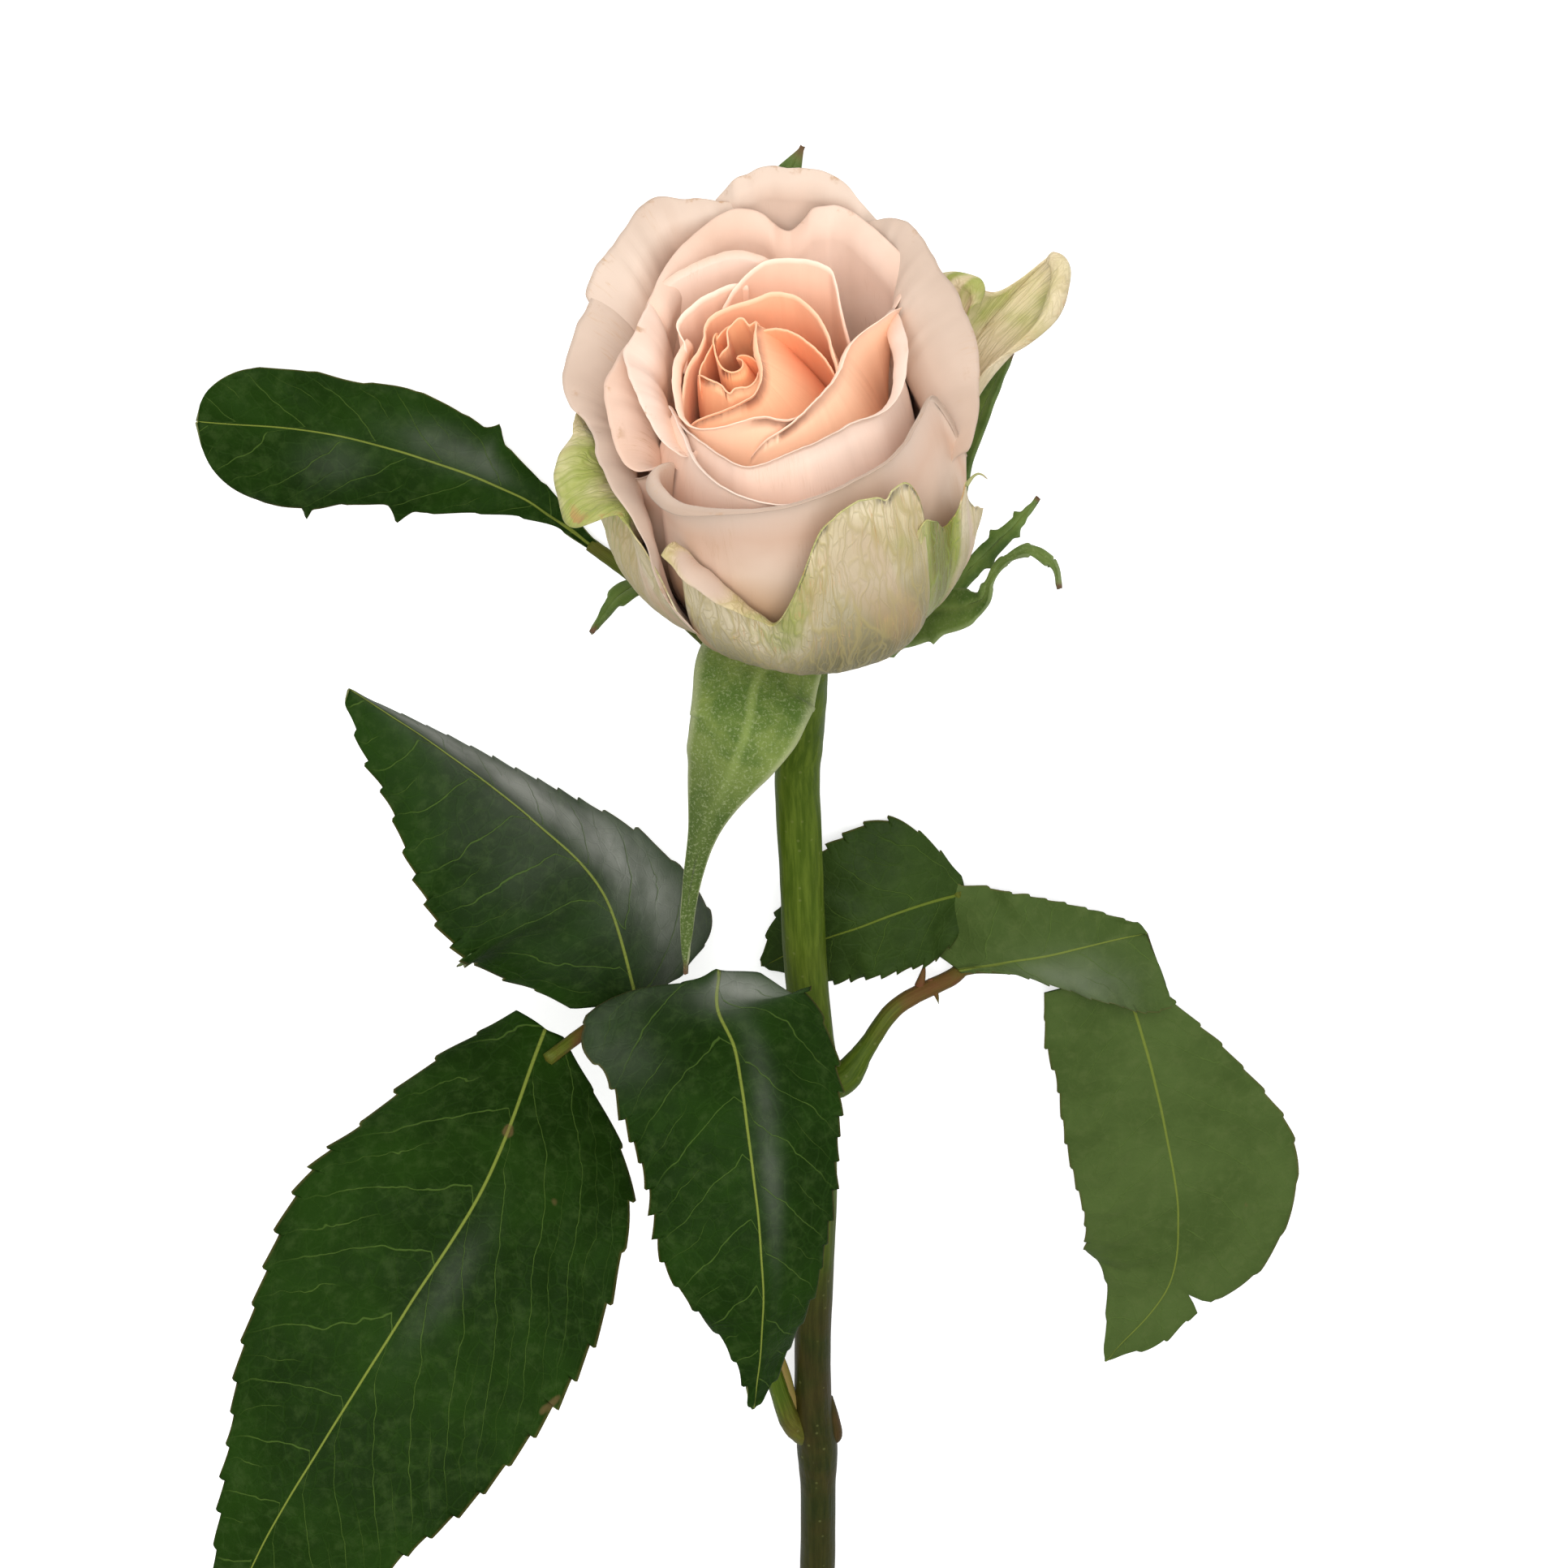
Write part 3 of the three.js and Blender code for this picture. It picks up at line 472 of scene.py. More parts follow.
# The bloom's frame and what all petals share: thickness falls to rimShare of it at the rim, and the steps of
# the waves are in degrees.
bloom = {
    "base": np.array([2.1, 24.0, -20.5]), "axis": unit(np.array([-0.068, 0.612, 0.788])),
    "bellyHeight": 26.0, "lowerArc": 39.0, "thickness": 0.24,
    "foot": 0.07, "footRise": 0.9, "lipStart": 0.8, "lipRows": 16, "rimShare": 0.35,
    "waveStep": 14, "pleatStep": 5, "crestStep": 10, "crestShare": 0.7,
}
bloom["right"] = unit(np.array([1.0, 0, 0]) - bloom["axis"] * bloom["axis"][0])
bloom["away"] = np.cross(bloom["axis"], bloom["right"])


def inBloom(east, north, height):
    # Base plus east along its right, north along its away and height along its axis.
    return (
        bloom["base"]
        + bloom["right"] * east[..., None]
        + bloom["away"] * north[..., None]
        + bloom["axis"] * height[..., None]
    )


def petalFace(petal, u, s):
    # Quarter ellipse from the foot to the belly, then straight up and leaning to the rim, with a rolled lip.
    angle, radius, height = (through([at[k] for at in petal["rim"]], u) for k in range(3))
    rolls = np.asarray(petal["roll"], float).reshape(-1, 2)
    rolls = np.concatenate([rolls, rolls]) if len(rolls) == 1 else rolls
    lip, turned = through(rolls[:, 0], u), np.radians(through(rolls[:, 1], u))
    crest = np.minimum(turned, math.pi / 2)
    bodyTop = height - lip * np.sin(crest)
    bodyRadius = radius - lip * (1 - np.cos(crest))
    foot, lipStart = bloom["foot"], bloom["lipStart"]
    way = np.minimum(s / lipStart, 1)
    belly, arc = bloom["bellyHeight"], bloom["lowerArc"]
    wide = through(petal["belly"], u) if np.ndim(petal["belly"]) else petal["belly"]
    full = np.where(bodyTop > belly, arc + bodyTop - belly,
                    arc * np.arccos(np.clip(1 - bodyTop / belly, -1, 1)) / (math.pi / 2))

    def profile(length):
        bend = np.minimum(length / arc, 1) * math.pi / 2
        over = np.maximum(length - arc, 0)
        return wide * np.sin(bend), belly * (1 - np.cos(bend)) + over

    r, h = profile(full * (foot + (1 - foot) * way))
    r = r + (bodyRadius - profile(full)[0]) * way ** petal["lean"]
    h = h + bloom["footRise"] * (1 - way)
    bend = np.clip((s - lipStart) / (1 - lipStart), 0, 1) * turned
    r = np.where(s > lipStart, bodyRadius + lip * (1 - np.cos(bend)), r)
    h = np.where(s > lipStart, bodyTop + lip * np.sin(bend), h)
    # waves that grow towards the rim, and finer pleats that fade again at it
    seed, upward = petal["seed"], way ** 2
    r = r + petal["ruffle"] * upward * wobble(seed, angle / bloom["waveStep"], 4)
    r = r + petal["pleat"] * upward * wobble(seed + 50, angle / bloom["pleatStep"], 3) * (1.1 - way)
    crests = wobble(seed + 9, angle / bloom["crestStep"], 4)
    h = h + bloom["crestShare"] * petal["ruffle"] * upward * crests
    right, away = petal["centre"]
    turn = np.radians(angle)
    return inBloom(r * np.cos(turn) + right * upward, r * np.sin(turn) + away * upward, h)


def makePetal(name, petal):
    # One thin closed petal; its tone goes from rim to base, its green is strongest at the rim and the base.
    columns, rows = petal["grid"]
    lipStart, lipRows = bloom["lipStart"], bloom["lipRows"]
    lip = lipStart + (1 - lipStart) * np.linspace(0, 1, lipRows) ** 0.9
    u, s = np.meshgrid(np.linspace(0, 1, columns + 1),
                       np.concatenate([np.linspace(0, lipStart - 0.02, rows - lipRows), lip]))
    middle = petalFace(petal, u, s)
    aside = np.minimum(u, 1 - u)
    edge = np.minimum(aside * 14, (1 - s) * 10)
    thin = bloom["rimShare"]
    thickness = bloom["thickness"] * (thin + (1 - thin) * np.sqrt(np.clip(edge, 0, 1)))
    shape = closedSheet(middle, thickness)[0]
    rimTone, baseTone = petal["tones"]
    width = np.linalg.norm(np.gradient(middle, axis=1), axis=-1).sum(1).max()
    drift = 0.4 * smooth(0.5, 0.15, s) + 0.35 * wobble(petal["seed"], u * 3 + s * 2, 3)
    greens = petal["green"] * np.clip(0.4 + 0.6 * smooth(0.7, 1.0, s) + drift, 0, 1.2)
    numbers = {
        "tone": twice(rimTone + (baseTone - rimTone) * smooth(1.05, 0.45, s)),
        "green": twice(greens + bumps(petal["spots"], u, s)),
        "veined": np.full(2 * u.size, petal["veined"]),
        "rim": twice(np.maximum(smooth(0.75, 1, s), smooth(0.06, 0, aside) * smooth(0.3, 0.6, s))),
        # painted shade, full on the lower petal and gone near the rim
        "paintedShade": twice(petal["paintedShade"] * smooth(0.82, 0.35, s)),
    }
    lie = np.stack([(u - 0.5) * width / 50, s * 0.9], -1)
    makePiece(name, shape, [petalSkin], ["bloom"], twice(lie), numbers)


heart = {"sides": 60, "rings": 40, "tones": (0.6, 1.0), "outline": [
    [0.02, 0.8], [6, 1.0], [11, 3.0], [15, 8], [16.5, 15], [15, 23], [11, 30], [5, 34.5], [0.02, 36]]}


def makeHeart():
    # Egg of revolution that closes the depths between the petals.
    t = np.linspace(0, 1, heart["rings"])
    profile = through(heart["outline"], t)
    angle = np.linspace(0, 2 * math.pi, heart["sides"], endpoint=False)
    r, h = profile[:, 0][:, None], profile[:, 1][:, None]
    ring = inBloom(r * np.cos(angle), r * np.sin(angle), h + 0 * angle)
    shape = closedTube(ring, ring[0].mean(0), ring[-1].mean(0))
    first, last = heart["tones"]
    blank = np.zeros(len(shape[0]))
    numbers = {"tone": ringNumbers(first + (last - first) * t, heart["sides"]),
               **{key: blank for key in ("green", "veined", "rim", "paintedShade")}}
    makePiece("bloomHeart", shape, [petalSkin], ["bloom"], np.zeros((len(blank), 2)), numbers)


# rim: [angle round the bloom, radius, height]. roll: [radius of the lip, degrees it turns].
# belly: radius at the belly. These lists run in even steps along the rim. tones: of rim and base.
# lean: the higher, the nearer the rim a petal leaves the ellipse. ruffle and pleat: broad and fine waves.
# green: 0 for a petal, more for a guard. spots of green: [u, s, widths, strength]. grid: columns, rows.
# Painted shade at the base: 0 for none, 1 for full.
outerPetals = {
    "petalBehind": {
        "seed": 11, "tones": (0.1, 0.3), "veined": 0.7, "ruffle": 0.25, "belly": 22.9, "roll": [5, 55],
        "rim": [[50, 27, 43], [56, 27.5, 44.8], [62, 27.7, 46], [67, 28.4, 48], [73, 29.3, 50],
            [80, 29.6, 51], [90, 30, 51.2], [96, 29.8, 50.6], [100, 29.6, 50], [104, 30, 47.4],
            [111, 29, 45], [118, 28.5, 43]]},
    "petalUpperLeft": {
        "seed": 12, "tones": (0.08, 0.42), "veined": 0.8, "ruffle": 0.25, "belly": 23,
        "roll": [[3, 50], [5, 60], [9, 74], [10, 78], [9, 76]],
        "rim": [[94, 27.8, 45.6], [99, 28.2, 47], [105, 28.4, 48], [110, 29.2, 48.8], [115, 30.4, 49],
            [119, 31.8, 48.6], [123, 32.2, 48], [129, 30.8, 47.4], [135, 29.8, 47], [142, 29.3, 45.8],
            [147, 29.3, 44.2], [149, 28.2, 43.2], [155, 27.6, 42.6], [162, 26.8, 42]]},
    "petalLeft": {
        "seed": 13, "tones": (0.06, 0.42), "veined": 0.7, "ruffle": 0.15, "lean": 2.5, "grid": (110, 50),
        "belly": [22.6, 22.6, 22.6, 22.6, 22.2, 21.4, 20.8],
        "roll": [[9, 76], [9.5, 80], [8, 78], [6.5, 76], [6, 72], [3.4, 60], [1, 40]],
        "rim": [[141, 28, 42.6], [144, 28.3, 43.4], [148, 28.2, 43.8], [154, 27.7, 43.4], [162, 27.6, 42.6],
            [171, 27.4, 41.6], [177, 27, 40.9], [181, 26.2, 40.2], [184, 24.8, 39.6], [188, 24, 39.4],
            [194, 23.8, 39.8], [201, 24.2, 40], [208, 24.6, 40], [216, 25.1, 39.8], [222, 25.3, 38.6],
            [226, 25.5, 36.8], [229, 25.3, 34], [231, 25.6, 30.5], [234, 25.4, 25.5], [240, 24.8, 21.5]]},
    "petalFront": {
        "seed": 14, "tones": (-0.02, 0.42), "veined": 0.35, "paintedShade": 1, "ruffle": 0.05, "grid": (150, 54),
        "belly": [20.4, 20.6, 20.8, 21, 21.4, 22, 22.8, 23.4, 23.7, 23.7, 23.6, 23.4, 23.2, 23],
        "roll": [[0.4, 20], [1, 120], [1.1, 165], [1.1, 150], [1, 100], [1.4, 75], [1.6, 62], [1.2, 50],
            [0.6, 40]],
        "rim": [[198, 21.6, 33], [206, 21.1, 36], [213, 20.4, 38], [218, 19.2, 39.8], [221, 18.2, 41],
            [222, 19.6, 42], [224, 21.2, 42.6], [228, 22.5, 43], [233, 23.5, 43.4], [238, 24.4, 43.8],
            [244, 24.8, 44.2], [249, 24.9, 44.6], [255, 24.8, 45], [263, 24.4, 45], [272, 23.9, 45],
            [281, 23.2, 45], [290, 22.5, 45], [299, 22, 45], [309, 21.8, 45], [319, 21.1, 45],
            [329, 20.3, 45], [338, 19.9, 44.8], [344, 19.9, 44.2], [348, 20.4, 42], [350, 21.7, 38],
            [351, 22.6, 34.4], [352, 23.4, 31]]},
    "petalRight": {
        "seed": 15, "tones": (0.03, 0.34), "veined": 0.5, "ruffle": 0.15, "lean": 2.5, "grid": (110, 50),
        "belly": [21.5, 21.5, 22.4, 23.6],
        "roll": [[3, 60], [6, 78], [8.5, 86], [8, 84], [5, 70], [2.5, 50]],
        "rim": [[-11.5, 23, 33], [-12, 23.9, 34], [-8.5, 24.5, 36.5], [-5, 25, 39.4], [-1, 25.1, 42],
            [7, 25, 44.6], [16, 24.7, 46], [26, 24.6, 47.2], [36, 24.8, 48], [44, 25.9, 48.8],
            [50, 26.6, 49], [55, 26.4, 48.8], [60, 26, 48], [68, 25.5, 46.2]]},
}

middlePetals = {
    "petalBackNotched": {
        "seed": 21, "tones": (0.25, 0.37), "veined": 0.5, "grid": (140, 50), "belly": 21.5, "roll": [4.5, 64],
        "rim": [[34, 12.4, 41], [34, 15, 43], [34, 17.6, 44], [36, 19.6, 45], [40, 21.7, 46], [45, 23, 47],
            [52, 23.6, 47.6], [59, 24.3, 48.2], [67, 25.5, 48.6], [72, 25.9, 48.8], [75, 25.8, 48.6],
            [79, 25.7, 48], [81, 25.3, 47], [83.5, 24.8, 45.8], [86, 24.5, 45.1], [88.5, 24.6, 45.4],
            [91, 24.9, 46.4], [94, 25.7, 47.3], [98, 26.3, 47.8], [102, 26.4, 48], [108, 25.7, 47.8],
            [117, 24.1, 47.4], [124, 23.1, 47], [132, 21.7, 46.6], [138, 20.8, 46], [143, 20.6, 45],
            [148, 20.4, 43]]},
    "petalLeftOuter": {
        "seed": 22, "tones": (0.24, 0.55), "veined": 0.6, "ruffle": 0.1, "belly": 19,
        "roll": [[5, 64], [7.5, 74], [8, 74], [6, 76], [1.2, 110]],
        "rim": [[158, 19.9, 43.6], [165, 20, 44.2], [173, 20.3, 44.8], [182, 21.2, 44.8], [188, 21.6, 44.4],
            [195, 21.7, 43.8], [203, 22, 43], [208, 22.4, 42.4], [213, 22.5, 41.8], [217, 21.8, 41.4],
            [219, 20.5, 41.2], [220, 19.3, 40.8], [221, 17.8, 40]]},
    "petalLeftTongue": {
        "seed": 23, "tones": (0.3, 0.55), "veined": 0.8, "ruffle": 0.08, "belly": 16.4,
        "roll": [[6, 50], [8, 60], [8, 62], [5, 60], [1.5, 55]],
        "rim": [[140, 20.9, 45], [146, 19.8, 45.6], [155, 19, 46], [162, 18.8, 46], [168, 19.1, 46],
            [173, 19.1, 46], [180, 18.5, 46], [188, 17.9, 45.6], [196, 17.6, 45.2], [205, 17.4, 44.6],
            [213, 17.6, 44], [221, 17.4, 43.4], [227, 17.2, 43], [229, 16.2, 42.8], [228, 15, 42.6],
            [226, 14, 42]]},
    "petalFrontThird": {
        "seed": 24, "tones": (0.3, 0.6), "veined": 0.15, "lean": 4, "grid": (84, 46), "belly": 20.3,
        "roll": [1.5, 52],
        "rim": [[199, 14.1, 43.8], [210, 14.5, 44.4], [223, 15.7, 44.8], [232, 17.3, 45], [240, 18.8, 45],
            [248, 20.3, 45], [256, 21.5, 45], [263, 22.5, 45], [270, 22.8, 44.6], [278, 22, 43.4],
            [287, 20.5, 42]]},
    "petalFrontSecond": {
        "seed": 25, "tones": (0.28, 0.5), "veined": 0.2, "lean": 5, "grid": (140, 50), "belly": 17.6,
        "roll": [[1.4, 50], [1.4, 50], [1.4, 52], [2, 75], [2.2, 85]],
        "rim": [[206, 13.9, 43.6], [216, 14.6, 44.4], [227, 15.1, 45], [236, 15.5, 45], [246, 16.2, 45],
            [253, 17, 45], [259, 17.1, 45], [265, 16.4, 45], [273, 15.3, 45], [281, 14.5, 45],
            [291, 14.1, 45], [303, 13.8, 45], [313, 14, 45], [322, 15.1, 45], [329, 16.1, 45.2],
            [338, 16.4, 45.4], [349, 16.3, 45.7], [358, 16.3, 45.9], [368, 16.5, 46], [380, 16.8, 45.7],
            [394, 17.8, 44.5]]},
    "petalBackLeft": {
        "seed": 26, "tones": (0.22, 0.62), "veined": 0.3, "ruffle": 0.06, "grid": (84, 46), "belly": 19,
        "roll": [1.2, 55],
        "rim": [[86, 16.6, 45], [90, 16.8, 46.6], [95, 17.3, 47.6], [102, 18.3, 48], [109, 19.1, 48],
            [116, 19.4, 47.7], [123, 19.9, 47.2], [129, 20.5, 46.6], [136, 20.9, 45.8], [141, 20.9, 44.4],
            [146, 20.5, 43]]},
}

innerPetals = {
    "petalBackInner": {
        "seed": 31, "tones": (0.48, 0.66), "belly": 14.5, "roll": [1, 45],
        "rim": [[36, 12, 39], [43, 12.2, 41.4], [49, 12.8, 43.4], [55, 13.9, 45.4], [60, 15.2, 46.6],
            [64, 16.1, 47.3], [69, 16.3, 47.8], [76, 16.3, 48], [84, 16.3, 48], [93, 16.5, 47.6],
            [100, 15.8, 47.2], [107, 14.7, 46.7], [113, 14.1, 46], [119, 13.4, 45], [126, 13, 43.4]]},
    "petalLeftInner": {
        "seed": 32, "tones": (0.46, 0.62), "belly": 14.2, "roll": [0.9, 50],
        "rim": [[104, 14.6, 45.6], [112, 14.8, 46.4], [120, 14.6, 46.6], [128, 14.7, 46.6],
            [136, 14.7, 46.4], [144, 14.9, 46], [149, 14.6, 45.6], [152, 13.7, 45], [155, 12.8, 44.6],
            [161, 12.3, 44], [170, 12, 42.6]]},
    "petalFrontLeft": {
        "seed": 33, "tones": (0.55, 0.85), "lean": 5, "grid": (130, 46), "belly": 13.6,
        "roll": [[1.2, 75], [1.2, 75], [0.7, 50], [0.6, 45], [0.6, 40]],
        "rim": [[149, 13.2, 44], [161, 12.9, 44.6], [173, 12.9, 45], [187, 13, 45], [202, 13.5, 45],
            [213, 14.2, 45], [222, 14.2, 45], [229, 13.4, 45], [237, 12.1, 45.3], [246, 10.8, 45.7],
            [256, 9.8, 46], [264, 9.6, 46], [271, 9.9, 45.9], [279, 9.9, 45.6], [288, 9.1, 44.9],
            [304, 7.4, 43.5], [330, 6.5, 42]]},
    "petalFrontRight": {
        "seed": 38, "tones": (0.55, 0.9), "lean": 5, "grid": (130, 46), "belly": 14.6,
        "roll": [[0.4, 30], [0.5, 40], [0.9, 60], [1.3, 70], [1.2, 60]],
        "rim": [[238, 10.7, 34], [247, 11.3, 38], [254, 11.4, 41], [262, 11.2, 43.4], [273, 10.8, 44.8],
            [286, 9.9, 45.6], [299, 9, 46], [316, 8.3, 46], [334, 8.2, 46], [350, 8.4, 46.1],
            [364, 8.9, 46.3], [373, 10, 46.5], [379, 11.9, 46.8], [382, 14.1, 47], [386, 16.3, 46.6],
            [391, 18.5, 45]]},
    "petalInnerRing": {
        "seed": 34, "tones": (0.72, 1), "veined": 0, "lean": 4, "grid": (140, 44), "belly": 11.4,
        "roll": [0.8, 45],
        "rim": [[-12, 8, 43], [-2, 7.7, 44], [18, 7.4, 45.4], [42, 8.2, 46.4], [60, 9.1, 47.2],
            [75, 9.9, 47.8], [84, 10.1, 48], [92, 10.2, 48], [100, 9.9, 47.9], [110, 9.9, 47.6],
            [121, 10.5, 47.2], [129, 11.1, 46.8], [137, 11.4, 46.4], [144, 11.1, 46], [151, 10.4, 45.7],
            [161, 10.3, 45.2], [172, 11, 44.8], [181, 11.4, 44.4], [192, 12, 43.8], [203, 12.8, 43]]},
    "petalRightInner": {
        "seed": 35, "tones": (0.85, 1.15), "veined": 0, "ruffle": 0.03, "lean": 6, "belly": 9.6,
        "roll": [0.5, 30],
        "rim": [[-20, 7.8, 42.4], [-4, 7.4, 43], [0, 6.9, 44], [19, 5.9, 45], [39, 5.2, 45.8], [62, 5, 46.4],
            [80, 4.9, 46.8], [98, 5, 46.8], [112, 5.3, 46.4]]},
}

heartPetals = {
    "petalHeartWrap": {
        "seed": 36, "tones": (0.85, 1), "ruffle": 0.03, "lean": 6, "grid": (130, 46), "belly": 12.5,
        "roll": [[0.5, 30], [0.6, 40], [0.9, 60], [0.9, 60], [0.2, 10]],
        "rim": [[222, 10.2, 41.6], [231, 9.6, 42.4], [236, 8.9, 43.2], [243, 8.2, 43.8], [256, 7.2, 44.3],
            [275, 6.3, 44.8], [292, 5.9, 45.2], [307, 5.1, 45.6], [322, 4.3, 46], [341, 3.5, 46.6],
            [364, 3, 47.2], [388, 3.2, 47.6], [405, 3.9, 48], [414, 4.8, 48.3], [420, 5.3, 47.8],
            [427, 5.6, 46], [434, 5.8, 43]]},
    "petalHeartNotch": {
        "seed": 39, "tones": (0.85, 1.2), "lean": 5, "grid": (110, 42), "belly": 8, "roll": [0.4, 30],
        "rim": [[166, 5.2, 42], [176, 4.9, 43.4], [186, 4.5, 44.2], [200, 4, 44.6], [222, 3.5, 44.8],
            [240, 3.6, 44.9], [252, 4, 44.6], [260, 4.2, 44.5], [268, 3.8, 44.9], [280, 3.8, 45],
            [293, 4, 45], [310, 3.7, 45], [340, 3.1, 45], [380, 3.3, 44.6]]},
    "petalHeartScroll": {
        "seed": 37, "tones": (1, 1.4), "lean": 5, "grid": (150, 42), "belly": 4, "roll": [0.3, 25],
        "rim": [[112, 5.4, 45.4], [118, 5.1, 46.4], [131, 4.2, 46.6], [144, 3.2, 46.2], [172, 2.2, 45.7],
            [217, 1.7, 45.5], [255, 1.5, 45.4], [295, 1.2, 45.4], [347, 0.95, 45.4], [400, 0.95, 45.5],
            [444, 0.8, 45.6]]},
    "petalHeartCurl": {
        "seed": 40, "tones": (1, 1.4), "lean": 4, "grid": (70, 40), "belly": 3.4, "roll": [0.3, 20],
        "rim": [[84, 1, 45.4], [70, 1.3, 45.6], [48, 1.7, 45.6], [27, 2.2, 45.4], [8, 2.7, 45],
            [-8, 3, 44.4]]},
    "petalHeartBack": {
        "seed": 45, "tones": (0.85, 1.35), "lean": 4, "grid": (120, 42), "belly": 7, "roll": [0.4, 40],
        "rim": [[58, 6, 46.6], [61, 5.5, 47.8], [68, 5, 47.5], [73, 5.2, 47.7], [78, 5.4, 48], [85, 5.4, 48],
            [94, 4.8, 47.6], [103, 4.3, 47.2], [106, 3.4, 46.7], [110, 2.7, 46.2], [120, 2.5, 46],
            [130, 2.6, 45.7], [142, 2.8, 45]]},
    "petalHeartLeft": {
        "seed": 46, "tones": (0.9, 1.35), "lean": 5, "grid": (90, 42), "belly": 6.6, "roll": [0.4, 30],
        "rim": [[196, 4.8, 42.4], [186, 4.7, 43.8], [173, 4.5, 44.6], [160, 4.2, 45], [140, 4.2, 45.6],
            [122, 4.6, 46], [109, 5.1, 46.4], [99, 5.3, 46.8], [88, 5.7, 46.6]]},
}

guardPetals = {
    "guardFront": {
        "seed": 41, "green": 0.55, "paintedShade": 1, "pleat": 0.45, "grid": (150, 64),
        "belly": [24.2, 24.6, 25.2, 25.9, 26.6, 27.2, 27.8, 28.1, 27.4, 26.2],
        "roll": [[2.4, 120], [2.6, 125], [1.6, 90], [0.8, 30], [0.7, 20], [0.7, 20], [0.7, 20], [0.6, 30]],
        "spots": [[0.12, 0.95, 0.1, 0.12, -0.6], [0.4, 0.9, 0.08, 0.3, 0.4], [0.3, 0.7, 0.14, 0.1, 0.35],
            [0.95, 0.75, 0.05, 0.3, 0.5], [0.7, 0.97, 0.2, 0.08, 0.35]],
        "rim": [[238, 26.1, 37.4], [241, 26.2, 36.6], [244, 26.2, 34.9], [249, 26.2, 33.2],
            [254, 26.2, 31.2], [258, 26.2, 29.4], [262, 26.2, 27.6], [266, 26.2, 26.4], [269, 26.4, 28],
            [272, 26.5, 31.4], [276, 26.4, 36], [279, 26.2, 40], [282, 26, 42.8], [285, 25.9, 44.3],
            [289, 25.7, 45], [294, 25.5, 45.2], [298, 25.6, 45], [300.5, 25.8, 44], [303, 25.7, 44.8],
            [307, 25.8, 45], [309.5, 26, 43.2], [311, 26.2, 40], [311.5, 26.3, 36], [311, 26.4, 32.6]]},
    "guardRight": {
        "seed": 42, "green": 0.45, "paintedShade": 0.85, "pleat": 0.5, "grid": (120, 60), "belly": 26,
        "roll": [[0.7, 20], [0.7, 20], [0.7, 20], [0.5, 30], [0.4, 15]],
        "spots": [[0.36, 0.85, 0.13, 0.35, 3.4], [0.2, 0.7, 0.12, 0.3, 0.9]],
        "rim": [[306, 26.4, 34], [309, 26.6, 36.8], [311.5, 26.6, 37.4], [314, 26.5, 36.4],
            [317, 26.3, 34.9], [319.5, 25.6, 32.8], [321.5, 25.2, 31.6], [323.5, 25.6, 31.9],
            [326, 26.2, 33.6], [328, 26.4, 35.4], [330, 26.3, 36.8], [332, 25.9, 34.5], [335, 25.5, 31],
            [339, 25.3, 28], [345, 25.2, 25], [353, 25.2, 21]]},
    "guardLeft": {
        "seed": 43, "tones": (0.05, 0.2), "green": 0.42, "paintedShade": 0.45, "ruffle": 0.12, "pleat": 0.3,
        "grid": (130, 64), "belly": [25.2, 25.4, 25.8, 25.6, 23.8, 22.2, 21.2],
        "roll": [[0.5, 20], [2.2, 60], [4.4, 104], [5.6, 124], [5.6, 130], [0.6, 60], [0.5, 30], [0.5, 30]],
        "spots": [[0.5, 0.95, 0.2, 0.12, 0.4], [0.25, 0.7, 0.2, 0.2, 0.7], [0.68, 0.86, 0.1, 0.07, 0.5]],
        "rim": [[150, 25, 30], [165, 25.2, 34], [176, 25.7, 37.5], [185, 26, 38.5], [191, 26.5, 38.8],
            [196, 27, 38.6], [201, 27.2, 37.8], [206, 27, 37], [211, 26.6, 36.8], [216, 26.2, 37.2],
            [220, 25.9, 37], [224, 25.7, 35.6], [228, 25.5, 33.4], [231, 25.3, 30.6], [234, 25.2, 27],
            [237, 25, 23]]},
    "guardCurled": {
        "seed": 44, "veined": 0.5, "green": 0.36, "ruffle": 0.2, "pleat": 0.2, "lean": 6, "grid": (110, 60),
        "belly": 23.6,
        "roll": [[1, 60], [1.8, 150], [1.8, 150], [1, 60], [1, 60], [1, 50]],
        "spots": [[0.75, 0.75, 0.2, 0.15, 0.6], [0.3, 0.8, 0.2, 0.1, 0.5]],
        "rim": [[22, 26.8, 31], [22.8, 29.8, 32.6], [23.6, 33, 33.8], [26, 38, 35.5], [30, 41.6, 37],
            [33, 43.6, 38], [35.8, 43.8, 38], [36.5, 42.6, 37], [36.6, 38.5, 36], [37.4, 35, 35.6],
            [39.6, 33, 36.6], [43, 31, 38.4]]},
    "guardLobe": {
        "seed": 47, "veined": 0.5, "green": 0.9, "pleat": 0.1, "lean": 5, "grid": (60, 50), "belly": 24,
        "roll": [1.3, 130],
        "rim": [[33, 29.9, 38.3], [34, 31, 39.6], [36, 31.1, 40.6], [39, 30.3, 40.9], [42, 29.2, 40.9],
            [45, 28, 40.4]]},
}

anyPetal = {"lean": 3, "ruffle": 0.2, "pleat": 0.12, "centre": (0, 0), "grid": (84, 46), "green": 0,
            "paintedShade": 0, "spots": []}
petalLayers = (
    (outerPetals, {}),
    (middlePetals, {"ruffle": 0.05, "grid": (100, 50)}),
    (innerPetals, {"ruffle": 0.04, "veined": 0.05}),
    (heartPetals, {"centre": (-5, 0.5), "ruffle": 0.02, "pleat": 0, "veined": 0}),
    (guardPetals, {"ruffle": 0.15, "tones": (0.05, 0.12), "veined": 1}),
)

makeHeart()
for layer, shared in petalLayers:
    for name, petal in layer.items():
        makePetal(name, {**anyPetal, **shared, **petal})
print("rose: bloom made of", sum(len(layer) for layer, shared in petalLayers), "petals")


